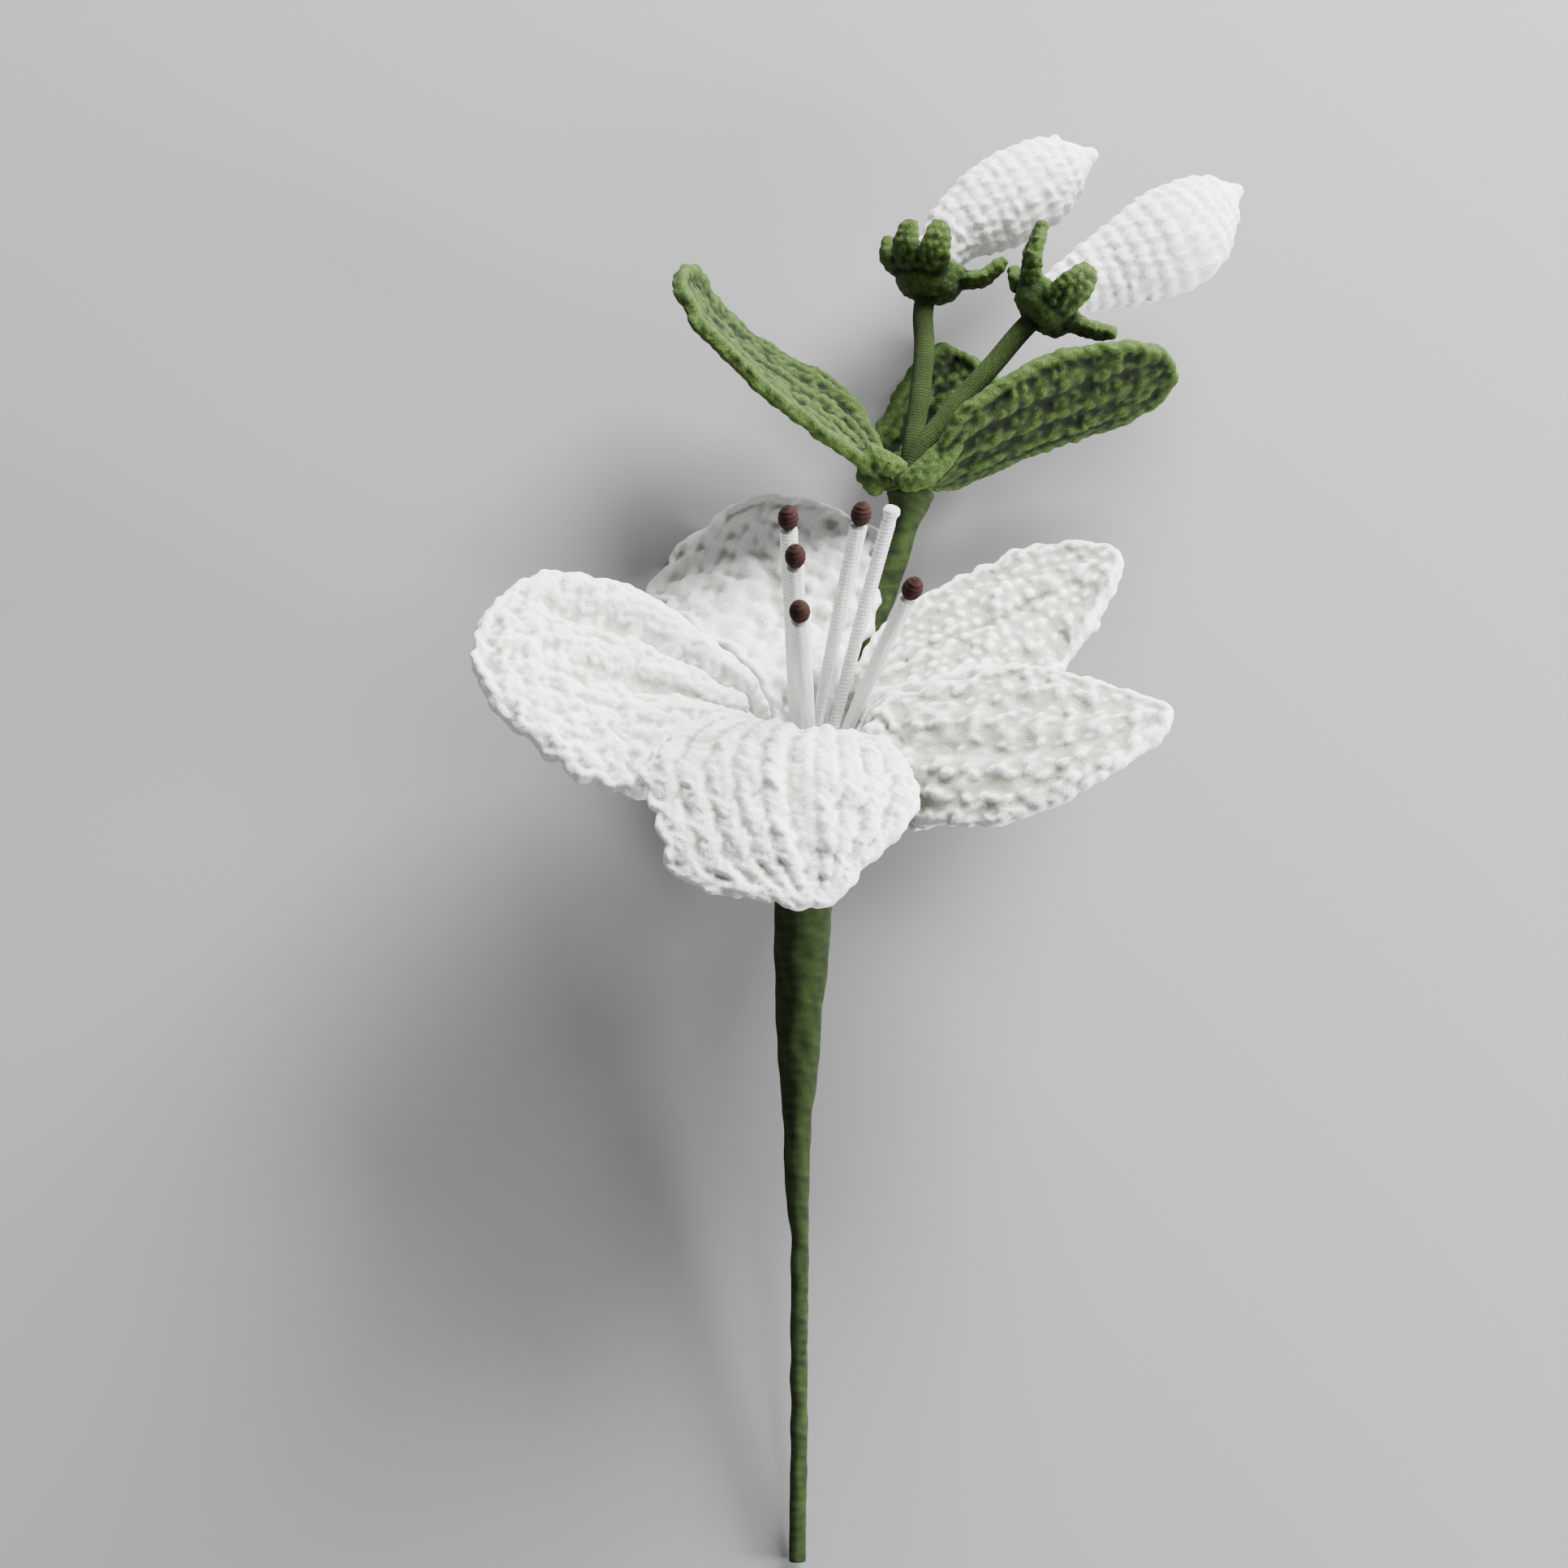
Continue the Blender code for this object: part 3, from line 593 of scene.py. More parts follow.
def outward(grid):
    """The way out of a closed surface at each of its grid points."""
    along = np.gradient(grid, axis=0)
    around = np.roll(grid, -1, axis=1) - np.roll(grid, 1, axis=1)
    ways = np.cross(along, around)
    centre = grid.mean(axis=1, keepdims=True)
    if np.sum((grid - centre) * ways) < 0:
        ways = -ways
    return ways / np.maximum(np.linalg.norm(ways, axis=-1, keepdims=True), 1e-9)


def on_grid(grid):
    """Finds points from their row, their column and their height above a closed grid."""
    ways = outward(grid)

    def find(spots):
        up = unit(read(ways, spots[..., 0], spots[..., 1]))
        return read(grid, spots[..., 0], spots[..., 1]) + up * spots[..., 2:], up

    return find


print("surface reader ready")

# %% [markdown]
# ## A strand of yarn
# What the eye sees of each stitch is a few short stretches of the strand: they come up out of
# the work, arch over it and dive back in. So each visible stretch is a small spindle, thin at
# both ends, that follows an arc through three places. A bump map could draw stitches too, but
# only real strands cover and shade each other as yarn does.

# %% Making strands
STRAND_RINGS = 6
STRAND_SIDES = 6
STRAND_END = 0.5
STRAND_FULLNESS = 0.7
STRAND_REACH = 0.4


def spindle_faces():
    """The faces of one spindle: a tube of rings, then a fan at each end."""
    r, s = np.meshgrid(np.arange(STRAND_RINGS - 1), np.arange(STRAND_SIDES), indexing="ij")
    a = (r * STRAND_SIDES + s).ravel()
    b = (r * STRAND_SIDES + (s + 1) % STRAND_SIDES).ravel()
    quads = np.stack((a, a + STRAND_SIDES, b + STRAND_SIDES, b), axis=1)
    now = np.arange(STRAND_SIDES)
    after = (now + 1) % STRAND_SIDES
    last = (STRAND_RINGS - 1) * STRAND_SIDES
    pole = STRAND_RINGS * STRAND_SIDES
    first_cap = np.stack((now, after, np.full(STRAND_SIDES, pole)), axis=1)
    last_cap = np.stack((last + after, last + now, np.full(STRAND_SIDES, pole + 1)), axis=1)
    return quads, np.concatenate((first_cap, last_cap))


def strands(find, paths, radii):
    """Spindles along arcs through three places each; find turns places into points."""
    paths = np.asarray(paths, float)
    radii = np.asarray(radii, float)
    t = np.linspace(0, 1, STRAND_RINGS)[:, None]
    first, middle, last = (paths[:, None, i] for i in range(3))
    bow = 2 * middle - (first + last) / 2
    centre, up = find((1 - t) ** 2 * first + 2 * t * (1 - t) * bow + t**2 * last)
    tangent = unit(np.gradient(centre, axis=1))
    side = unit(np.cross(tangent, up))
    up = np.cross(side, tangent)
    turns = -pi / 2 + np.arange(STRAND_SIDES) * 2 * pi / STRAND_SIDES
    swell = STRAND_END + (1 - STRAND_END) * np.sin(pi * t[:, 0]) ** STRAND_FULLNESS
    size = (radii[:, None] * swell[None])[..., None, None]
    ring = np.cos(turns)[:, None] * side[:, :, None] + np.sin(turns)[:, None] * up[:, :, None]
    skin = centre[:, :, None] + size * ring
    reach = radii[:, None, None] * np.array((-STRAND_REACH, STRAND_REACH))[None, :, None]
    ends = centre[:, [0, -1]] + tangent[:, [0, -1]] * reach
    points = np.concatenate((skin.reshape(len(paths), -1, 3), ends), axis=1)
    quads, caps = spindle_faces()
    offset = (np.arange(len(paths)) * points.shape[1])[:, None, None]
    return {
        "points": points.reshape(-1, 3),
        "quads": (quads[None] + offset).reshape(-1, 4),
        "caps": (caps[None] + offset).reshape(-1, 3),
    }


print("a strand has", STRAND_RINGS, "rings of", STRAND_SIDES, "points")

# %% [markdown]
# ## The backing
# Behind the visible strands lies the rest of the work, which is simply full of yarn. A closed
# skin of the surface stands for it: the strands are sunk into it, and no light comes through
# between them. It could be left out, but then one would see into hollow stitches.

# %% The closed skin of a grid
MARKS = ("along", "around", "shade", "crown")
EVEN_SHADE = 0.5


def backing(grid):
    """The closed skin of a grid, with both ends covered."""
    rows, columns = grid.shape[:2]
    r, c = np.meshgrid(np.arange(rows - 1), np.arange(columns), indexing="ij")
    a = (r * columns + c).ravel()
    b = (r * columns + (c + 1) % columns).ravel()
    quads = np.stack((a, b, b + columns, a + columns), axis=1)
    now = np.arange(columns)
    after = (now + 1) % columns
    poles = np.stack((grid[0].mean(axis=0), grid[-1].mean(axis=0)))
    top = rows * columns
    last = (rows - 1) * columns
    first_cap = np.stack((after, now, np.full(columns, top)), axis=1)
    last_cap = np.stack((last + now, last + after, np.full(columns, top + 1)), axis=1)
    caps = np.concatenate((first_cap, last_cap))
    points = np.concatenate((grid.reshape(-1, 3), poles))
    centre = grid.mean(axis=1, keepdims=True)
    along = np.gradient(grid, axis=0)
    across = np.roll(grid, -1, axis=1) - np.roll(grid, 1, axis=1)
    if np.sum((grid - centre) * np.cross(across, along)) < 0:
        quads = quads[:, ::-1]
        caps = caps[:, ::-1]
    marks = np.zeros((len(points), len(MARKS)))
    marks[:, MARKS.index("shade")] = EVEN_SHADE
    return {"points": points, "quads": quads, "caps": caps, "marks": marks}


print("marks on each point:", ", ".join(MARKS))

# %% [markdown]
# ## Felting the strands together
# Soft yarn has no sharp gaps: its fibres reach over from one strand to the next, and the work
# closes into one soft skin. Blender's voxel remesh wraps all the strands and their backing in
# one skin of small even cells, which is then evened out a little. Smooth shading alone would
# not do it, because the strands would still cut through each other.

# %% One skin round many shells
def joined(parts):
    """All points and all faces of some shells."""
    points = np.concatenate([part["points"] for part in parts])
    faces = []
    start = 0
    for part in parts:
        faces += (part["quads"] + start).tolist() + (part["caps"] + start).tolist()
        start += len(part["points"])
    return points, faces


def gathered(items, field, width, kind):
    """One field of all these mesh items, as an array."""
    values = np.empty(len(items) * width, kind)
    items.foreach_get(field, values)
    return values


def wrapped(parts, cell):
    """Points, edges, quads and triangles of one skin of small cells round all these shells."""
    points, faces = joined(parts)
    mesh = bpy.data.meshes.new("loose_strands")
    mesh.from_pydata(points.tolist(), [], faces)
    holder = bpy.data.objects.new("loose_strands", mesh)
    bpy.context.scene.collection.objects.link(holder)
    skin = holder.modifiers.new("skin", "REMESH")
    skin.mode = "VOXEL"
    skin.voxel_size = cell
    found = holder.evaluated_get(bpy.context.evaluated_depsgraph_get()).to_mesh()
    points = gathered(found.vertices, "co", 3, np.float32).reshape(-1, 3).astype(float)
    edges = gathered(found.edges, "vertices", 2, np.int32).reshape(-1, 2)
    corners = gathered(found.loops, "vertex_index", 1, np.int32)
    sides = gathered(found.polygons, "loop_total", 1, np.int32)
    bpy.data.objects.remove(holder)
    bpy.data.meshes.remove(mesh)
    starts = np.concatenate(([0], np.cumsum(sides)[:-1]))
    quads = corners[starts[sides == 4][:, None] + np.arange(4)]
    caps = corners[starts[sides == 3][:, None] + np.arange(3)]
    return points, edges, quads, caps


print("wrapping ready")

# %% [markdown]
# ## Crowns and hollows
# The skin itself knows where a stitch stands out. The same skin after much more evening is
# nearly flat, so a point above it is a crown and a point below it is a hollow. That difference
# is kept as a mark on each point, and it colours the stitches: painted shade in the hollows and
# a painted highlight on the crowns. Blender works out a similar value at render time, called
# pointiness, but that compares a point with its next neighbours only, and a stitch is many
# cells wide.

# %% Felting
HOLLOW_ROUNDS = 45
CROWN_SPAN = 0.55


def evened(points, pairs, rounds):
    """Draws each point halfway to the mean of its neighbours, this many times."""
    count = np.bincount(pairs.ravel(), minlength=len(points))[:, None]
    first = np.concatenate((pairs[:, 0], pairs[:, 1]))
    second = np.concatenate((pairs[:, 1], pairs[:, 0]))
    for _ in range(rounds):
        sums = [np.bincount(first, points[second, k], len(points)) for k in range(3)]
        points = (points + np.stack(sums, axis=1) / count) / 2
    return points


def largest_shell(number, pairs):
    """Marks the points of the largest connected shell, so that closed-in gaps are left out."""
    label = np.arange(number)
    while True:
        lowest = label.copy()
        np.minimum.at(lowest, pairs[:, 0], label[pairs[:, 1]])
        np.minimum.at(lowest, pairs[:, 1], label[pairs[:, 0]])
        lowest = lowest[lowest]
        if (lowest == label).all():
            break
        label = lowest
    return label == np.bincount(label).argmax()


def ways_out(points, quads):
    """The way out of a skin at each of its points."""
    tilt = np.cross(points[quads[:, 2]] - points[quads[:, 0]], points[quads[:, 3]] - points[quads[:, 1]])
    ways = np.zeros_like(points)
    for k in range(3):
        for corner in range(4):
            ways[:, k] += np.bincount(quads[:, corner], tilt[:, k], len(points))
    return unit(ways + 1e-12)


def felted(parts, cell, rounds, lift=0.0):
    """One even skin round all these shells. lift makes the whole skin paler, and darker below 0: painted
    light or painted shade over the whole piece.
    """
    points, pairs, quads, caps = wrapped(parts, cell)
    kept = largest_shell(len(points), pairs)
    new = np.cumsum(kept) - 1
    points = points[kept]
    pairs = new[pairs[kept[pairs[:, 0]]]]
    quads = new[quads[kept[quads[:, 0]]]]
    caps = new[caps[kept[caps[:, 0]]]]
    points = evened(points, pairs, rounds)
    flat = evened(points, pairs, HOLLOW_ROUNDS)
    # the height over the flat skin becomes the crown mark: painted shade in the hollows, a painted
    # highlight on the crowns
    height = np.sum((points - flat) * ways_out(flat, quads), axis=1)
    marks = np.zeros((len(points), len(MARKS)))
    marks[:, MARKS.index("shade")] = EVEN_SHADE
    # lift moves the whole skin towards the painted highlight above 0 and towards the painted shade below 0
    marks[:, MARKS.index("crown")] = np.clip(0.5 + lift + height / CROWN_SPAN, 0, 1)
    return {"points": points, "quads": quads, "caps": caps, "marks": marks}


print("a crown stands", CROWN_SPAN / 2, "mm out, a hollow lies as deep")

# %% [markdown]
# ## Putting a piece together
# A finished piece is one mesh object in its lying place. It rides on a body, and the solids
# that it stands for are hidden. The marks go into the mesh as attributes, which the materials
# read.

# %% One piece of the spray
triangle_count = {}


def piece(name, parts, finish, slot, *nodes):
    """Joins shells into one object that stands for these nodes."""
    points, faces = joined(parts)
    marks = np.concatenate([part["marks"] for part in parts])
    mesh = bpy.data.meshes.new(name)
    mesh.from_pydata(laid(points).tolist(), [], faces)
    for number, label in enumerate(MARKS):
        layer = mesh.attributes.new(label, "FLOAT", "POINT")
        layer.data.foreach_set("value", marks[:, number].astype(np.float32))
    mesh.materials.append(finish)
    mesh.shade_smooth()
    made = bpy.data.objects.new(name, mesh)
    bpy.context.scene.collection.objects.link(made)
    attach(made, "root")
    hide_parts(*nodes)
    triangle_count[name] = sum(2 * len(part["quads"]) + len(part["caps"]) for part in parts)
    print(name, "has", triangle_count[name], "triangles")
    return made


print("pieces so far:", len(triangle_count))

# %% [markdown]
# ## Nothing handmade is even
# A worked edge swings in and out in small shells, and a flat petal is never quite flat. A few
# crossing waves of about one length make such soft lumps. Blender's noise could do this too,
# but these few lines give the height wherever a row or a stitch asks for it. Longer folds,
# such as the furrow along a petal, are creases: a line along the sheet with depth and width.

# %% Lumps, creases and scallops
CROSSING_WAVES = 6
SHORTEST = 0.7
LONGEST = 1.5
CALMING = 2.5
SHELL_DRIFT = 1.2
DRIFT_SIZE = 15.0
SHELL_DIP = 0.6


def waves(x, y, size, seed):
    """Soft random lumps of about this size, from a few crossing waves."""
    random = np.random.default_rng(seed)
    total = np.zeros(np.broadcast(x, y).shape)
    for _ in range(CROSSING_WAVES):
        angle = random.uniform(0, 2 * pi)
        length = size * random.uniform(SHORTEST, LONGEST)
        start = random.uniform(0, 2 * pi)
        total += np.sin(2 * pi * (x * cos(angle) + y * sin(angle)) / length + start)
    return total / CALMING


def crease(share, v, line, depth, width):
    """A furrow, or a ridge where depth is below 0. line gives its place v and its strength."""
    shares, places, strength = np.array(line).T
    place = np.interp(share, shares, places)
    return -depth * np.interp(share, shares, strength) * np.exp(-(((v - place) / width) ** 2))


def scallops(run, shell, seed):
    """How far an edge swings out along its run, in shells of this length."""
    drift = SHELL_DRIFT * waves(run, 0 * run, DRIFT_SIZE, seed)
    return np.abs(np.sin(pi * (run + drift) / shell)) - SHELL_DIP


print("scallops swing from", -SHELL_DIP, "to", 1 - SHELL_DIP)

# %% [markdown]
# ## A worked sheet
# Petals and leaves are sheets of stitches with a wire in the edge. Each is lofted through cross
# rows, so it bends as the real one was bent. The loft is then wrapped into a thin closed
# backing: upper face, rounded edge, lower face, rounded edge. Cloth simulation would be wrong
# here, because the wire holds these sheets where the maker bent them.

# %% The outline and the bend of a sheet
SHEET_STEP = 0.9
TIP_ROUNDING = 0.4
PLAIN_ROOT = 0.35
SCALLOPS_GROW = 4
TIP_SHARE = 0.2


def edge_reaches(where, widths, tip, scallop, shell, seed):
    """How far each row reaches to its left and to its right, as shares of its half width."""
    past = np.clip(where - (where[-1] - tip), 0, tip) / tip
    inset = min(tip, TIP_ROUNDING * widths[-1]) * (1 - np.sqrt(1 - past**2))
    free = np.clip((where / where[-1] - PLAIN_ROOT) * SCALLOPS_GROW, 0, 1)
    return [
        1 - 2 * (inset - scallop * free * scallops(where, shell, seed + hand)) / widths
        for hand in (0, 1)
    ]


def bent_rows(lines, across):
    """Reads each row between its guides, on the one curve that passes through all of them."""
    guides = lines.shape[1]
    spots = np.linspace(-1, 1, guides)
    weights = np.ones((*across.shape, guides))
    for g in range(guides):
        for other in range(guides):
            if other != g:
                weights[..., g] *= (across - spots[other]) / (spots[g] - spots[other])
    return np.einsum("rcg,rgk->rck", weights, lines)


def scalloped_tip(sheet, run, share, scallop, shell, seed):
    """Pushes the last rows out and in along the sheet, so that the tip has shells too."""
    outer = np.clip((share - (1 - TIP_SHARE)) / TIP_SHARE, 0, 1)[:, None]
    push = scallop * outer * scallops(run, shell, seed)
    return sheet + unit(np.gradient(sheet, axis=0)) * push[..., None]


print("one row of points for each", SHEET_STEP, "mm")

# %% [markdown]
# ## Giving the sheet its relief and its thickness
# Across the bent sheet, relief and small lumps push it up and down, along the way that it
# faces. They fade out at the root, which is tight and hidden, and at the very tip. Then the
# thickness is added: an upper and a lower face, joined by half-round edges. Blender's Solidify
# modifier does nearly this, but its edges are flat, and these are worked round.

# %% Wrapping a sheet
BACKING_HALF = 0.8
ROOT_HALF = 0.45
THIN_ROOT = 0.3
EDGE_STEPS = 4
RELIEF_STARTS = 0.25
RELIEF_ENDS = 0.06
LEAST_AT_TIP = 0.3
LARGE_LUMP = 8.0
SMALL_LUMP = 4.0
SMALL_SHARE = 0.6


def two_faced(sheet, normals, half):
    """The closed grid of a sheet: upper face, right edge, lower face, left edge."""
    right_out = unit(sheet[:, -1] - sheet[:, -2])[:, None]
    left_out = unit(sheet[:, 0] - sheet[:, 1])[:, None]
    bend = (np.arange(1, EDGE_STEPS) * pi / EDGE_STEPS)[None, :, None]
    right = sheet[:, -1:] + half * (np.cos(bend) * normals[:, -1:] + np.sin(bend) * right_out)
    left = sheet[:, :1] + half * (-np.cos(bend) * normals[:, :1] + np.sin(bend) * left_out)
    upper = sheet + normals * half
    lower = (sheet - normals * half)[:, ::-1]
    return np.concatenate((upper, right, lower, left), axis=1)


def worked_sheet(stations, relief, lump, scallop, shell, tip, seed):
    """A lofted sheet with its closed grid. relief gives its height at share, v."""
    stations = np.asarray(stations, float)
    knots = distances(stations.mean(axis=1))
    rows = int(knots[-1] / SHEET_STEP) + 1
    where = np.linspace(0, knots[-1], rows)
    share = where / knots[-1]
    lines = through(knots, stations, where)
    widths = np.linalg.norm(np.diff(lines, axis=1), axis=-1).sum(axis=1)
    columns = int(widths.max() / SHEET_STEP) + 1
    left, right = edge_reaches(where, widths, tip, scallop, shell, seed)
    across = np.linspace(0, 1, columns)[None] * (right + left)[:, None] - left[:, None]
    run = across * widths[:, None] / 2
    sheet = scalloped_tip(bent_rows(lines, across), run, share, scallop, shell, seed + 4)
    normals = unit(np.cross(np.gradient(sheet, axis=0), np.gradient(sheet, axis=1)))
    fade = np.clip(share / RELIEF_STARTS, 0, 1) * np.clip((1 - share) / RELIEF_ENDS, LEAST_AT_TIP, 1)
    form = relief(share[:, None], across)
    bumps = lump * waves(where[:, None], run, LARGE_LUMP, seed + 2)
    bumps = bumps + SMALL_SHARE * lump * waves(where[:, None], run, SMALL_LUMP, seed + 3)
    sheet = sheet + normals * (fade[:, None] * (form + bumps))[..., None]
    half = ROOT_HALF + (BACKING_HALF - ROOT_HALF) * np.clip(share / THIN_ROOT, 0, 1)
    half = half[:, None, None]
    return {
        "grid": two_faced(sheet, normals, half),
        "rows": rows,
        "columns": columns,
        "widths": np.linalg.norm(np.diff(sheet, axis=1), axis=-1).sum(axis=1),
        "length": knots[-1],
        "centre": sheet,
        "normals": normals,
        "form": fade[:, None] * form,
        "half": half,
    }


def face_column(sheet, side, share):
    """The grid column on a face, at a share of the way from the left edge to the right one."""
    span = sheet["columns"] - 1
    if side > 0:
        return share * span
    return span + EDGE_STEPS + (1 - share) * span


print("the backing is", 2 * BACKING_HALF, "mm thick")

# %% [markdown]
# ## Working the rows
# The rows run lengthwise, from the root to the tip. In the front petal they stand up as puffy
# ribs, and the strands slant up one side of a rib and down the other, like a row of arrowheads.
# The other petals are flatter: each stitch shows a V of two fat strands, a small knob where the
# yarn was drawn tight, or the bar of the stitch behind it. Where a sheet gets narrow, two rows
# are taken together, as a maker does. In each form below, a strand has three places, given
# along the row, across it, and in height from sunk (0) to full (1).

# %% The forms of a stitch
ARROWS = (
    ((-0.95, -0.95, 0.0), (-0.15, -0.50, 0.8), (0.55, 0.10, 0.8)),
    ((0.45, -0.10, 0.8), (-0.20, 0.50, 0.8), (-0.95, 0.95, 0.0)),
)
VEE = (
    ((-0.62, -0.80, 0.0), (-0.05, -0.40, 1.0), (0.62, -0.05, 0.0)),
    ((-0.62, 0.80, 0.0), (-0.05, 0.40, 1.0), (0.62, 0.05, 0.0)),
)
BAR = (((0.10, -0.95, 0.0), (0.25, 0.0, 1.25), (0.10, 0.95, 0.0)),)
KNOB = (((-0.38, -0.14, 0.25), (0.0, 0.0, 1.0), (0.38, 0.14, 0.25)),)
print("strands in an arrowhead and in a V:", len(ARROWS), len(VEE))

# %% Stitches in lengthwise rows
KNOB_FATNESS = 1.2
NARROW = 0.6
SIZE_SPREAD = 0.1
RISE_SPREAD = 0.2
ALONG_SPREAD = 0.10
ACROSS_SPREAD = 0.12
SLANT_SPREAD = 0.1
FORM_DEPTH = 4.0
LEAST_RISE = 0.5


def worked_rows(sheet, side, number, pitch, radius, rise, loose, seed, form=VEE, bars=0.0, knobs=0.0):
    """Strands on one face, in this many rows. rise is how far they stand out of the backing."""
    random = np.random.default_rng(seed)
    wide = sheet["widths"].max() / number
    per_mm = (sheet["rows"] - 1) / sheet["length"]
    all_rows = np.arange(sheet["rows"])
    paths = []
    radii = []
    for i in range(number):
        column = (i + 0.5) / number * (sheet["columns"] - 1)
        line = read(sheet["centre"], all_rows * 1.0, np.full(len(all_rows), column))
        run = distances(line)
        for k in range(int(run[-1] / pitch) + 1):
            at = np.interp((k + 0.5 * (i % 2)) * pitch, run, all_rows)
            here = np.interp(at, all_rows, sheet["widths"]) / number
            merged = 1
            while here * merged < NARROW * wide and merged < number:
                merged *= 2
            if i % merged:
                continue
            half = min(merged, number - i) / number / 2
            pick = random.uniform()
            stitch = BAR if pick < bars else KNOB if pick < bars + knobs else form
            fat = KNOB_FATNESS if stitch is KNOB else 1.0
            deep = np.interp(at, all_rows, sheet["form"][:, int(column)])
            clear = np.clip(1 + side * deep / FORM_DEPTH, LEAST_RISE, 1.0)
            for places in stitch:
                shake = random.normal(0, 1, 5) * loose
                size = radius * fat * (1 + SIZE_SPREAD * shake[0])
                top = rise * (1 + RISE_SPREAD * shake[1]) * clear - size
                path = []
                for x, y, h in places:
                    x += ALONG_SPREAD * shake[2]
                    y += ACROSS_SPREAD * shake[3] + SLANT_SPREAD * x * shake[4]
                    share = np.clip(i / number + half + y * half, 0.0, 1.0)
                    row = np.clip(at + x * pitch * per_mm, 0.0, sheet["rows"] - 1.0)
                    path.append((row, face_column(sheet, side, share), -size + (top + size) * h))
                paths.append(path)
                radii.append(size)
    return strands(on_grid(sheet["grid"]), paths, radii)


print("rows merge below", NARROW, "of their full width")

# %% [markdown]
# ## The edge
# The edge is one more round of stitches that closes the work and hides the wire. It follows the
# outline up one side, round the tip and down the other, with strands that cross the edge at a
# slant from both faces. A plain round tube would be simpler, but it looks like a hem, and a
# crocheted edge is bumpy.

# %% Stitches round the edge
RIM_STEP = 1.2
RIM_TILT = 0.35
GROWN_FROM = 0.45
BULGE_SPREAD = 0.3
EDGE_SUNK = 0.55
EDGE_LIFT = 0.55
EDGE_OVERLAP = 0.9
EDGE_SLANT = 0.5
EDGE_ENDS = (-0.3, -0.9)


def rim_of(sheet):
    """Finds places along the outline from the run, the height over the sheet and the way out."""
    centre, normals = sheet["centre"], sheet["normals"]
    line = np.concatenate((centre[:, 0], centre[-1, 1:-1], centre[::-1, -1]))
    up = np.concatenate((normals[:, 0], normals[-1, 1:-1], normals[::-1, -1]))
    run = distances(line)
    even = np.linspace(0, run[-1], int(run[-1] / RIM_STEP))
    line = np.stack([np.interp(even, run, line[:, k]) for k in range(3)], axis=1)
    up = np.stack([np.interp(even, run, up[:, k]) for k in range(3)], axis=1)
    for _ in range(2):
        line[1:-1] = (line[:-2] + 2 * line[1:-1] + line[2:]) / 4
        up[1:-1] = (up[:-2] + 2 * up[1:-1] + up[2:]) / 4
    up = unit(up)
    out = unit(np.cross(up, np.gradient(line, axis=0)))
    if np.sum((line - line.mean(axis=0)) * out) < 0:
        out = -out

    def find(spots):
        place, lift, way = (
            np.stack([np.interp(spots[..., 0], even, values[:, k]) for k in range(3)], axis=-1)
            for values in (line, up, out)
        )
        return place + lift * spots[..., 1:2] + way * spots[..., 2:], unit(way + RIM_TILT * lift)

    return find, even[-1]


def edge_stitches(sheet, pitch, radius, bulge, loose, grown, seed):
    """Slanting strands over the edge. They swell to full size over the first share of each side."""
    random = np.random.default_rng(seed)
    find, length = rim_of(sheet)
    half = sheet["half"].max()
    count = int(length / pitch)
    paths = []
    radii = []
    for k in range(count + 1):
        at = (k + 0.5) * length / (count + 1)
        near = min(at, length - at) / length
        grow = min(1.0, GROWN_FROM + near / grown)
        for hand in (-1, 1):
            shake = random.normal(0, 1, 5) * loose
            size = radius * grow * (1 + SIZE_SPREAD * shake[0])
            out = (bulge * (1 + BULGE_SPREAD * shake[1])) * grow - size * EDGE_SUNK
            lift = hand * half * EDGE_LIFT
            low, lower = EDGE_ENDS[0] * size, EDGE_ENDS[1] * size
            paths.append(
                (
                    (at - EDGE_OVERLAP * pitch, lift - hand * EDGE_SLANT + 0.2 * shake[2], low),
                    (at + 0.15 * pitch * shake[3], lift + 0.25 * hand + 0.15 * shake[4], out),
                    (at + EDGE_OVERLAP * pitch, lift + hand * EDGE_SLANT, lower),
                )
            )
            radii.append(size)
    return strands(find, paths, radii)


print("the edge is read each", RIM_STEP, "mm")

# %% [markdown]
# ## The five petals
# Their roots overlap in a funnel round the throat, and from there each opens into a lobe of its
# own shape: the front one hangs over like a tongue, the left one rolls its upper edge, the back
# one stands up, and the two on the right are pointed. Each is given as a few cross rows of
# places, from one edge to the other, since a photograph shows edges and folds best. The claw is
# the sector of the funnel that the root takes, in degrees round the bloom.

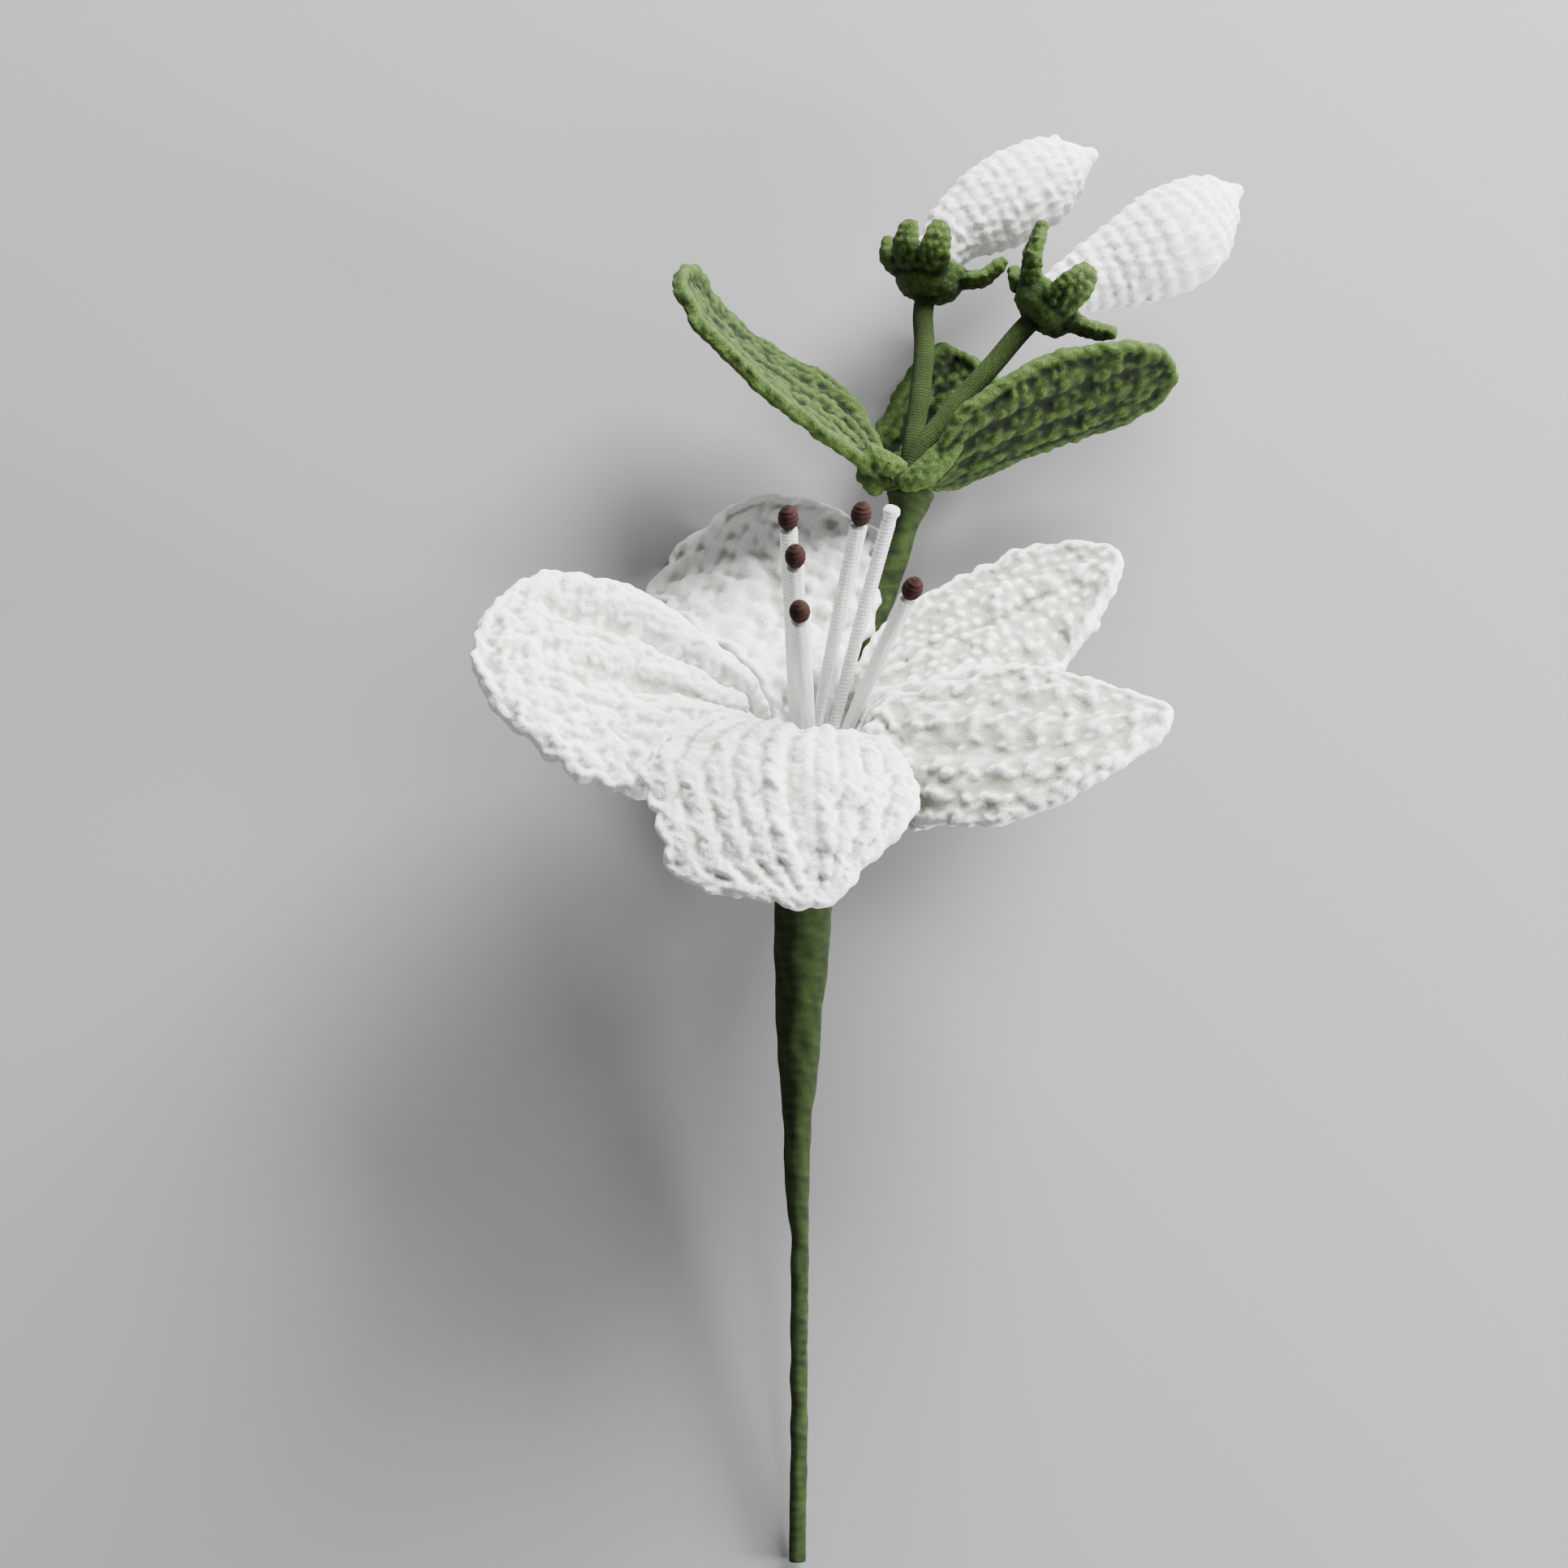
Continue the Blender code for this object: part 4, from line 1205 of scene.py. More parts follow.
# %% Where the petals are
YARN_SHEET = 2.2
FUNNEL = ((0.2, 6.6), (11.0, 10.2), (22.0, 14.0))
PETALS = {
    "petal_front": {
        "claw": (-37, 37),
        "rows": (
            ((-17, -29.5, 171), (0.5, -32, 169.5), (15, -31.5, 167.5)),
            ((-28, -37, 164), (-2, -42, 164.5), (21, -39, 160)),
            ((-26.3, -45, 152), (-1.5, -49, 152.5), (19.7, -46.5, 151.8)),
            ((-19, -50, 140), (1, -52.5, 142), (11, -51, 143.6)),
            ((-4, -53, 138.3), (2.5, -53.7, 136.5), (7.5, -52.8, 139.3)),
        ),
    },
    "petal_left": {
        "claw": (-125, -37),
        "rows": (
            ((-22, -5, 188), (-23, -19.5, 177.5), (-18, -30, 162)),
            ((-33, -4, 195.9), (-36, -24.5, 180), (-31, -38, 158.4)),
            ((-44.5, -8, 198.8), (-47, -28.5, 182.3), (-42.8, -42, 163)),
            ((-54, -15, 198.4), (-56, -31.5, 184), (-53.2, -41, 170.2)),
            ((-60.6, -23.5, 193.6), (-62.3, -32, 184), (-60, -38, 177.8)),
        ),
    },
    "petal_back": {
        "claw": (148, 235),
        "rows": (
            ((13.8, 2.5, 190), (-2, 5, 191), (-18, 5, 189)),
            ((14.6, 6.5, 198.5), (-4, 14, 201), (-27, 19, 195.5)),
            ((14.8, 13, 206), (-6, 22.5, 210), (-30, 33.2, 202.3)),
            ((14.4, 19.5, 211.8), (-6, 26.5, 215.6), (-22.3, 34.6, 210.6)),
            ((8.5, 24.5, 215), (-2, 28, 218.8), (-11.8, 31.5, 218.4)),
        ),
    },
    "petal_right_upper": {
        "claw": (95, 148),
        "rows": (
            ((24, -12, 178.5), (26, -5, 186), (16.8, -1, 188.5)),
            ((37, -9, 182), (36, -1.5, 190.5), (28.5, 6, 198.2)),
            ((51.5, -3.5, 182), (46, 3.5, 195.5), (42, 11, 204.4)),
            ((57.2, 1, 189), (55.5, 7.5, 199.8), (54, 14, 207.8)),
            ((64, 6.5, 200.3), (66, 10.5, 205.6), (62, 13, 207.9)),
        ),
    },
    "petal_right_lower": {
        "claw": (37, 95),
        "rows": (
            ((19, -27, 150.5), (20, -28, 160), (22, -23, 170), (24, -16.5, 176.5)),
            ((28.5, -34, 150), (30, -38, 157), (34, -29, 170), (34, -18.5, 179)),
            ((43, -40.5, 152.5), (44, -44, 157.5), (47.5, -34, 171), (46, -21.5, 181)),
            ((56.5, -42.5, 159.6), (57, -45, 162.8), (58.5, -37, 171), (55.8, -26, 178.6)),
            ((67.8, -40, 166.8), (70, -39.5, 169.8), (70.5, -36.5, 172.8), (66, -32, 174.4)),
        ),
    },
}


def around_bloom(height, radius, degrees):
    """A point round the bloom's axis: 0 degrees is its front, 90 its right."""
    angle = radians(degrees)
    return THROAT + radius * (cos(angle) * FRONT + sin(angle) * RIGHT) + height * AXIS


def claw_rows(start, end, guides):
    """Cross rows of a petal's claw, from start to end in degrees round the bloom's axis."""
    made = []
    for height, radius in FUNNEL:
        inset = np.degrees((YARN_SHEET / 2 + 1.8 * GAP) / radius)
        angles = np.linspace(start + inset, end - inset, guides)
        made.append([around_bloom(height, radius, angle) for angle in angles])
    return made


print("petals:", len(PETALS))

# %% [markdown]
# ## Folds and ribs of the petals
# The maker bent each petal by its wire, and the work folded where it was bent. A fold is a
# crease here: the first number of each place is how far along the petal it lies, the second is
# where it lies across (-1 is the left edge, 1 the right one), the third how strong it is. Depth
# and width follow, and a depth below 0 makes a roll that stands up. The front petal has ribs
# too, ten of them, which are higher at its left.

# %% Folds and ribs
FRONT_RIBS = 10
RIB_HEIGHT = 0.68
RIB_FADE = 0.40
RIB_FATNESS = 1.3
RIB_SINK = 0.35
FOLDS = {
    "petal_front": {
        "furrow": (((0.3, 0.0, 0.5), (0.5, 0.0, 1.0), (0.85, 0.1, 1.0), (1.0, 0.1, 0.2)), 1.5, 0.10),
    },
    "petal_left": {
        "roll": (((0.2, -0.92, 0.6), (0.5, -0.90, 1.0), (0.8, -0.92, 0.8), (1.0, -0.94, 0.3)), -2.2, 0.15),
        "upper furrow": (
            ((0.2, -0.56, 0.8), (0.5, -0.60, 1.2), (0.75, -0.66, 1.0), (0.9, -0.7, 0.0)),
            3.6,
            0.14,
        ),
        "flat band": (((0.2, -0.3, 0.6), (0.8, -0.35, 1.0), (1.0, -0.35, 0.0)), -0.7, 0.22),
        "lower furrow": (((0.2, 0.0, 0.5), (0.5, 0.0, 1.0), (0.7, 0.02, 0.8), (0.8, 0.02, 0.0)), 2.8, 0.13),
        "lower edge": (((0.2, 1.05, 0.5), (0.4, 1.05, 1.0), (1.0, 1.05, 1.0)), 1.5, 0.08),
    },
    "petal_back": {
        "furrow": (((0.2, 0.0, 0.6), (0.6, 0.05, 1.0), (1.0, 0.05, 0.3)), 1.2, 0.12),
    },
    "petal_right_upper": {
        "furrow": (((0.2, 0.0, 0.5), (0.4, 0.0, 1.0), (0.8, 0.0, 0.8), (1.0, 0.0, 0.2)), 2.2, 0.09),
    },
    "petal_right_lower": {
        "furrow": (((0.2, 0.0, 0.5), (0.4, 0.1, 1.0), (0.8, 0.1, 0.6), (1.0, 0.1, 0.2)), 1.4, 0.08),
        "lower edge": (
            ((0.2, -1.05, 0.5), (0.4, -1.05, 1.0), (0.9, -1.05, 1.0), (1.0, -1.05, 0.3)),
            4.0,
            0.25,
        ),
    },
}


def petal_relief(name):
    """The height of a petal's upper side at share, v."""

    def relief(share, v):
        folded = sum(crease(share, v, *fold) for fold in FOLDS[name].values())
        if name != "petal_front":
            return folded
        wave = np.abs(np.sin(pi * FRONT_RIBS * (v + 1) / 2)) ** RIB_FATNESS
        return RIB_HEIGHT * (1 - RIB_FADE * v) * wave - RIB_SINK + folded

    return relief


print("folds:", sum(len(folds) for folds in FOLDS.values()), "ribs:", FRONT_RIBS)

# %% [markdown]
# ## How each petal is worked
# The same tools make all five, with other numbers. The front petal has tight arrowheads, the
# left one small Vs and some knobs, the back one is nearly smooth, and the two on the right are
# loose knobs with wide hollows. Five scripts could do it as well, but one loop with a table
# keeps them alike. The skin's cell decides how fine the work is, and its lift how dark it is:
# the lift spreads painted shade over the whole of the two right petals, and paints the others
# paler.

# %% Petal stitches
PETAL_FORM = {
    "petal_front": {"lump": 0.4, "scallop": 2.0, "shell": 6.0, "tip": 1.5},
    "petal_left": {"lump": 0.45, "scallop": 2.2, "shell": 7.0, "tip": 1.5},
    "petal_back": {"lump": 0.5, "scallop": 3.4, "shell": 10.0, "tip": 1.2},
    "petal_right_upper": {"lump": 0.6, "scallop": 1.8, "shell": 6.0, "tip": 4.0},
    "petal_right_lower": {"lump": 0.6, "scallop": 1.8, "shell": 6.0, "tip": 4.0},
}
LOOSE_KNOBS = {"number": 8, "pitch": 3.4, "radius": 1.1, "rise": 0.9, "loose": 0.8, "knobs": 0.8}
PETAL_STITCHES = {
    "petal_front": {
        "number": FRONT_RIBS,
        "pitch": 1.7,
        "radius": 0.75,
        "rise": 0.75,
        "loose": 0.9,
        "form": ARROWS,
    },
    "petal_left": {
        "number": 15,
        "pitch": 2.4,
        "radius": 0.8,
        "rise": 0.65,
        "loose": 0.8,
        "bars": 0.1,
        "knobs": 0.2,
    },
    "petal_back": {
        "number": 14,
        "pitch": 2.8,
        "radius": 0.9,
        "rise": 0.22,
        "loose": 0.8,
        "bars": 0.1,
        "knobs": 0.3,
    },
    "petal_right_upper": LOOSE_KNOBS,
    "petal_right_lower": LOOSE_KNOBS,
}
PETAL_EDGE = {"pitch": 3.2, "radius": 1.0, "bulge": 0.85, "loose": 1.4, "grown": 0.3}
# lift is painted light and shade for each whole petal: painted shade below 0, paler above 0
PETAL_SKIN = {
    "petal_front": {"cell": 0.38, "rounds": 1, "lift": 0.26},
    "petal_left": {"cell": 0.42, "rounds": 1, "lift": 0.1},
    "petal_back": {"cell": 0.47, "rounds": 3, "lift": 0.25},
    "petal_right_upper": {"cell": 0.42, "rounds": 1, "lift": -0.36},
    "petal_right_lower": {"cell": 0.43, "rounds": 1, "lift": -0.3},
}
FIRST_PETAL_SEED = 100

for number, (name, petal) in enumerate(PETALS.items()):
    seed = FIRST_PETAL_SEED + 10 * number
    stations = claw_rows(*petal["claw"], len(petal["rows"][0])) + list(petal["rows"])
    sheet = worked_sheet(stations, petal_relief(name), **PETAL_FORM[name], seed=seed)
    print(name, "is", round(sheet["widths"].max(), 1), "mm wide,", round(sheet["length"], 1), "mm long")
    parts = [backing(sheet["grid"])]
    for side in (1, -1):
        parts.append(worked_rows(sheet, side, seed=seed + 4 + side, **PETAL_STITCHES[name]))
    parts.append(edge_stitches(sheet, **PETAL_EDGE, seed=seed + 6))
    piece(name + "_worked", [felted(parts, **PETAL_SKIN[name])], WHITE_YARN, "white_yarn", name)

# %% [markdown]
# ## Stitches in rounds
# Buds, calyces and sepals are worked in rounds, like a tiny sock: each round sits half a stitch
# aside from the one before, and a round gets fewer stitches where the form gets narrow. The
# same Vs as in the rows are used, but they go round a closed form. The girth at each height
# says how many fit.

# %% Stitches worked round a form
SUNK = 0.35
BAR_RISE = 0.2
BAR_REACH = 0.8
BAR_SLANT = 0.2
ROUND_FOOT = 0.8
ROUND_SPREAD = 0.12
ROUND_SHIFT = 0.2
ROUND_VEE = ((-0.62, 0.85), (0.0, 0.6), (0.62, 0.12))


def rounds(grid, pitch, wide, radius, rise, bars, loose, seed, first=0.0, last=1.0):
    """Stitches worked round a closed form, from one share of its length to another."""
    random = np.random.default_rng(seed)
    rows, columns = grid.shape[:2]
    girth = np.linalg.norm(np.roll(grid, -1, axis=1) - grid, axis=-1).sum(axis=1)
    run = np.maximum(distances(grid.mean(axis=1)), distances(grid[:, 0]))
    paths = []
    radii = []
    for k in range(int(run[-1] * (last - first) / pitch)):
        at = first * run[-1] + (k + 0.5) * pitch
        middle = np.interp(at, run, np.arange(rows))
        per_mm = 1 / max(np.interp(middle, np.arange(rows - 1) + 0.5, np.diff(run)), 1e-6)
        number = max(3, int(round(np.interp(middle, np.arange(rows), girth) / wide)))
        half = columns / number / 2
        step = pitch * per_mm
        for j in range(number):
            shake = random.normal(0, 1, 5) * loose
            c = (2 * j + (k % 2)) * half + shake[0] * half * ROUND_SHIFT
            row = middle + shake[1] * ROUND_SHIFT * per_mm
            size = radius * (1 + ROUND_SPREAD * shake[2])
            top = rise * (1 + RISE_SPREAD * shake[3]) - size
            low = -ROUND_FOOT * size
            if random.uniform() < bars:
                end = row + BAR_SLANT * step * shake[4]
                reach = BAR_REACH * half
                paths.append(((row, c - reach, low), (row, c, top + BAR_RISE), (end, c + reach, low)))
                radii.append(size)
                continue
            for hand in (-1, 1):
                heights = (low, top, low)
                paths.append(
                    [(row + x * step, c + hand * y * half, h) for (x, y), h in zip(ROUND_VEE, heights)]
                )
                radii.append(size)
    return strands(on_grid(grid), paths, radii)


print("a worked form is sunk", SUNK, "mm, and its stitches fill it up again")

# %% [markdown]
# ## The leaves
# Three long leaves come out of the fork: the left one is seen nearly on edge, the right one
# shows its whole upper side, and the back one peeps out between the bud stems. They are sheets
# as the petals are, with five ridges and hollow rows between them. At the fork the last few
# stitches of the two front leaves wrap round the stem, as short worked tabs that are felted
# into the leaf, so that no seam shows.

# %% Where the leaves are
LEAVES = {
    "leaf_left": (
        ((18.6, 9.3, 221.2), (18.6, 12.8, 221.8), (18.6, 16.3, 223.4)),
        ((9.5, 4.5, 228), (9.5, 13, 232.5), (10.5, 21, 240)),
        ((-1.5, 1.5, 235.9), (-2, 13, 240.5), (0, 25, 247.4)),
        ((-11.6, 1, 244.3), (-13, 13, 248.8), (-10.5, 24, 253.2)),
        ((-20.2, 3, 253.6), (-21, 12, 257.5), (-18.4, 20.5, 260.8)),
        ((-25, 7, 260.8), (-24, 11.5, 264.5), (-22.2, 15.5, 266.6)),
    ),
    "leaf_right": (
        ((26.8, 8.8, 224.2), (26.8, 12.6, 221.6), (26.6, 15.6, 220.9)),
        ((31.5, 4.5, 231.6), (32, 12.5, 225.0), (33, 22, 222.3)),
        ((42, 2.5, 240.4), (43, 13, 230), (45.5, 24, 227.8)),
        ((54, 3, 246.2), (56, 13.5, 235), (58.5, 23, 232.8)),
        ((66, 5, 248.5), (68.5, 13.5, 240), (70.8, 21, 236.7)),
        ((74.2, 8, 248.6), (77, 13, 245), (77, 17.5, 241.2)),
    ),
    "leaf_back": (
        ((20, 18.3, 220.8), (22.4, 18.4, 221), (24.6, 18.3, 220.8)),
        ((13.5, 21.5, 223.2), (22, 23, 224.5), (28, 24.5, 225)),
        ((17, 27.5, 232), (25, 31.5, 231), (34, 30, 230.5)),
        ((21, 33, 240), (29, 37, 241), (39, 36, 239.5)),
        ((26, 37.5, 249), (32.5, 40, 248), (42.5, 38.5, 244.5)),
        ((29.5, 39, 253), (33.5, 40.3, 252), (37, 40, 250.5)),
    ),
}
LEAF_TABS = {
    "leaf_left": (
        ((13.5, 7.2, 227.6, 2.3), (18.0, 7.0, 224.8, 2.5), (22.0, 7.6, 223.6, 1.8)),
        ((14.6, 10.5, 222.6, 2.2), (16.0, 11.0, 221.2, 2.8), (17.6, 11.4, 220.6, 2.2)),
    ),
    "leaf_right": (
        (
            (20.6, 7.8, 220.8, 2.0),
            (24.6, 6.9, 222.2, 2.8),
            (29.0, 7.2, 226.0, 2.9),
            (33.0, 6.6, 229.5, 1.6),
        ),
    ),
    "leaf_back": (),
}
print("leaves:", len(LEAVES), "tabs:", sum(len(tabs) for tabs in LEAF_TABS.values()))

# %% Leaf stitches
LEAF_RIDGES = 4
RIDGE_HEIGHT = 0.7
RIDGES_GROW = 4
RIDGES_END = 1.15
LEAF_FORM = {"lump": 0.3, "scallop": 0.6, "shell": 6.5, "tip": 3.0}
LEAF_STITCHES = {
    "leaf_left": {"number": 7, "pitch": 2.2, "radius": 0.75, "rise": 0.9, "loose": 0.9, "form": ARROWS},
    "leaf_right": {"number": 9, "pitch": 3.0, "radius": 0.95, "rise": 0.6, "loose": 0.9, "bars": 0.25},
    "leaf_back": {"number": 8, "pitch": 3.0, "radius": 0.9, "rise": 0.6, "loose": 0.9, "bars": 0.2},
}
LEAF_EDGE = {"pitch": 2.8, "radius": 1.05, "bulge": 0.9, "loose": 0.8, "grown": 0.1}
# lift below 0 is painted shade over the whole leaf, most of it on the right leaf
LEAF_SKIN = {
    "leaf_left": {"cell": 0.4, "rounds": 1, "lift": -0.02},
    "leaf_right": {"cell": 0.42, "rounds": 1, "lift": -0.14},
    "leaf_back": {"cell": 0.42, "rounds": 1, "lift": -0.06},
}
TAB_ROUNDS = {"pitch": 1.7, "wide": 2.8, "radius": 0.8, "rise": 0.5, "bars": 0.1, "loose": 0.7}
TAB_PLACES = 14
TAB_SIDES = 16
TAB_SUNK = 0.2
TAB_FLATNESS = 0.8
FIRST_LEAF_SEED = 200


def leaf_relief(share, v):
    """A midrib and two ridges on each side of it, with hollow rows between them."""
    ridges = RIDGE_HEIGHT * np.cos(pi * LEAF_RIDGES * v)
    return ridges * np.clip(share * RIDGES_GROW, 0, 1) * np.clip(RIDGES_END - share, 0, 1)


def leaf_tab(tab, seed):
    """A short flat roll of stitches at a leaf's root."""
    line = smooth_path(tab, TAB_PLACES)
    wide = line[:, 3] - TAB_SUNK
    thin = TAB_FLATNESS * line[:, 3] - TAB_SUNK
    grid = rings(line[:, :3], wide, thin, TAB_SIDES, (0.0, 0.0, 1.0))
    return [backing(grid), rounds(grid, **TAB_ROUNDS, seed=seed)]


for number, (name, stations) in enumerate(LEAVES.items()):
    seed = FIRST_LEAF_SEED + 10 * number
    sheet = worked_sheet(stations, leaf_relief, **LEAF_FORM, seed=seed)
    print(name, "is", round(sheet["widths"].max(), 1), "mm wide,", round(sheet["length"], 1), "mm long")
    parts = [backing(sheet["grid"])]
    for side in (1, -1):
        parts.append(worked_rows(sheet, side, seed=seed + 4 + side, **LEAF_STITCHES[name]))
    parts.append(edge_stitches(sheet, **LEAF_EDGE, seed=seed + 6))
    for count, tab in enumerate(LEAF_TABS[name]):
        parts += leaf_tab(tab, seed + 7 + count)
    piece(name + "_worked", [felted(parts, **LEAF_SKIN[name])], GREEN_YARN, "green_yarn", name)

# %% [markdown]
# ## Winding tape and thread
# A stem is wire, wound with tape at a slant, each turn half over the last. A stamen is the same
# in small, wound with fine thread. Both are a rod here, whose radius rises and falls once for
# each turn. A real strip of tape could be wound as a mesh of its own, but its edges would be
# thinner than the eye can see here. Tape also has patches, lighter where it was pulled thin,
# and the same soft waves as before give its shade, in streaks that run round the stem.

# %% Winding
TURN_FLATNESS = 0.96
TURN_SINK = 0.8
TURN_SHUFFLE = 12.9898
KNOT_SIZE = 7.0
STREAKS = (
    {"strength": 0.25, "along": 1.0, "around": 0.3, "size": 1.8},
    {"strength": 0.25, "along": 0.6, "around": 1.0, "size": 4.0},
)


def streaky(run, arc, seed):
    """The shade of tape: short streaks round the stem, then larger patches along it."""
    total = EVEN_SHADE
    for number, streak in enumerate(STREAKS):
        patches = waves(streak["along"] * run, streak["around"] * arc, streak["size"], seed + number)
        total = total + streak["strength"] * patches
    return total


def wound(line, pitch, depth, per_turn, sides, threads=0, joint=0.3, uneven=0.0):
    """A rod whose skin rises and falls once for each turn, of this many fine threads, wound on it.

    joint is how light the painted shade in the groove between two turns stays: 0 is as dark as a hollow, 1
    as a crown.
    """
    line = np.asarray(line, float)
    knots = distances(line[:, :3])
    count = int(knots[-1] / pitch * per_turn) + 1
    path = through(knots, line, np.linspace(0, knots[-1], count))
    run = distances(path[:, :3])[:, None]
    turns = np.arange(sides) / sides
    arc = turns * path[:, 3:] * 2 * pi
    phase = run / pitch - turns
    arch = np.sqrt(1 - TURN_FLATNESS * (2 * (phase % 1) - 1) ** 2)
    radius = path[:, 3:] + depth * (arch - TURN_SINK)
    radius = radius + uneven * waves(run, arc, KNOT_SIZE, count)
    part = backing(rings(path[:, :3], radius, radius, sides, RIGHT))
    if uneven:
        shade = streaky(run, arc, count + 1)
    else:
        shade = EVEN_SHADE + (1 - joint) / 2 * np.sin(np.floor(phase) * TURN_SHUFFLE)
    # painted shade in the groove between two turns, lightest on the crown of each turn
    crown = joint + (1 - joint) * arch
    own = np.stack((arc, phase % 1 * threads, shade, crown), axis=-1)
    part["marks"][: count * sides] = own.reshape(-1, len(MARKS))
    return part


print("streaks in tape:", len(STREAKS))

# %% [markdown]
# ## The stems
# The main stem is thin at its cut foot and gets thicker in steps, where more wires were bound
# in, up to the cone that holds the bloom. The branch starts behind that cone: its tape begins
# under the stem's own and comes out slowly, then leads up between two petals to the fork, where
# a small dome closes it under the leaves. The bud stems are wound with fine thread. Each line
# gives x, y, z and the radius there.

# %% Stem and branch
STEM_WINDING = {"pitch": 5.5, "depth": 0.05, "per_turn": 10, "sides": 40, "joint": 0.8, "uneven": 0.12}
STEM_DETAIL = 80
BRANCH_WINDING = {"pitch": 4.5, "depth": 0.05, "per_turn": 10, "sides": 32, "joint": 0.8, "uneven": 0.1}
BRANCH_DETAIL = 60
FORK = np.array((23.0, 13.0, 219.8))
FORK_RADIUS = 4.7
BRANCH_LINE = (
    (-1.2, 11.5, 121.5, 0.5),
    (-1.1, 12.1, 124.5, 1.0),
    (-1.0, 12.8, 128.0, 1.6),
    (-0.5, 14.0, 137.0, 2.2),
    (1.8, 15.2, 148.0, 2.6),
    (6.0, 13.6, 163.0, 2.65),
    (10.8, 11.8, 178.0, 2.65),
    (15.2, 11.0, 192.4, 2.65),
    (18.4, 11.7, 201.0, 2.6),
    (20.9, 12.4, 208.5, 2.65),
    (22.0, 12.8, 213.8, 3.2),
    (22.8, 13.0, 217.6, 4.4),
    (*FORK, FORK_RADIUS),
    (23.0, 13.0, 220.4, 4.3),
    (23.0, 13.0, 220.9, 3.2),
    (23.0, 13.0, 221.2, 1.2),
)
stem_tape = wound(smooth_path(STEM_LINE, STEM_DETAIL), **STEM_WINDING)
piece("stem_wrap_worked", [stem_tape], GREEN_TAPE, "green_tape", "stem_wrap")
branch_tape = wound(smooth_path(BRANCH_LINE, BRANCH_DETAIL), **BRANCH_WINDING)
piece("branch_wrap_worked", [branch_tape], GREEN_TAPE, "green_tape", "branch_wrap")

# %% Bud stems
BUD_STEM = 2.15
BUD_STEM_RADII = (1.85, 1.9, BUD_STEM, BUD_STEM)
BUD_STEM_WINDING = {"pitch": 0.62, "depth": 0.035, "per_turn": 5, "sides": 20, "threads": 1, "joint": 0.8}
BUD_STEM_DETAIL = 40
STRAIGHT_AT_CALYX = 2.5
STEM_INTO_CALYX = 1.9
SEATS = {
    "left": (np.array((26.7, 24.2, 261.3)), unit(np.array((0.2, 0.15, 0.97)))),
    "right": (np.array((48.3, 14.0, 255.2)), unit(np.array((0.7, 0.05, 0.71)))),
}
ROUTES = {
    "left": ((22.8, 15.05, 220.2), (22.9, 15.1, 224.6), (25.0, 18.0, 238.0), (26.3, 21.6, 250.8)),
    "right": ((22.8, 10.9, 220.2), (23.2, 10.8, 223.4), (33.5, 11.8, 238.3), (40.5, 12.8, 246.3)),
}
for side, route in ROUTES.items():
    seat, way = SEATS[side]
    line = [(*point, radius) for point, radius in zip(route, BUD_STEM_RADII)]
    line.append((*(seat - STRAIGHT_AT_CALYX * way), BUD_STEM))
    line.append((*(seat + STEM_INTO_CALYX * way), BUD_STEM))
    thread = wound(smooth_path(line, BUD_STEM_DETAIL), **BUD_STEM_WINDING)
    piece("bud_stem_%s_worked" % side, [thread], GREEN_TAPE, "green_tape", "bud_stem_" + side)

# %% [markdown]
# ## Stamens and pistil
# Six fine wires rise from the throat in a ring, wound with white thread, and fan out towards
# the viewer. Five end in an anther, a small barrel wound with dark thread, and the sixth is the
# pistil, which ends in a plain knot. Each is one wound rod with its own numbers, which is also
# how the real ones are made. Their winding is deep enough to be seen, so it is in the mesh.

# %% Stamens
STAMEN_CIRCLE = 3.1
STAMEN_FOOT = 2.8
STAMEN_BOW = 1.5
FILAMENT_FOOT = 0.95
FILAMENT_TIP = 1.75
PISTIL_TIP = 1.45
PISTIL_KNOT = ((0.5, 1.7), (1.2, 1.65), (1.8, 1.2), (2.1, 0.4))
FILAMENT_WINDING = {"pitch": 0.85, "depth": 0.22, "per_turn": 5, "sides": 14}
FILAMENT_DETAIL = 30
ANTHER_LENGTH = 5.0
ANTHER_RADIUS = 2.1
ANTHER_ENDS = 0.95
ANTHER_TAPER = 0.12
ANTHER_DETAIL = 24
ANTHER_WINDING = {"pitch": 0.85, "depth": 0.3, "per_turn": 6, "sides": 20, "threads": 1}
TIPS = {
    "filament_1": (250, (-2.2, -37.0, 208.0)),
    "filament_2": (310, (-0.9, -44.0, 200.4)),
    "filament_3": (10, (0.0, -51.0, 190.0)),
    "filament_4": (190, (11.4, -30.0, 209.2)),
    "filament_5": (70, (20.6, -41.6, 194.6)),
    "pistil": (130, (17.8, -24.0, 211.8)),
}


def anther_line(tip, way):
    """The barrel of an anther, that starts a hair past the filament's tip."""
    share = np.linspace(0, 1, ANTHER_DETAIL)
    centres = tip + way * (GAP + share[:, None] * ANTHER_LENGTH)
    swell = ANTHER_RADIUS * np.sqrt(1 - (ANTHER_ENDS * (2 * share - 1)) ** 2)
    return np.concatenate((centres, (swell * (1 - ANTHER_TAPER * share))[:, None]), axis=1)


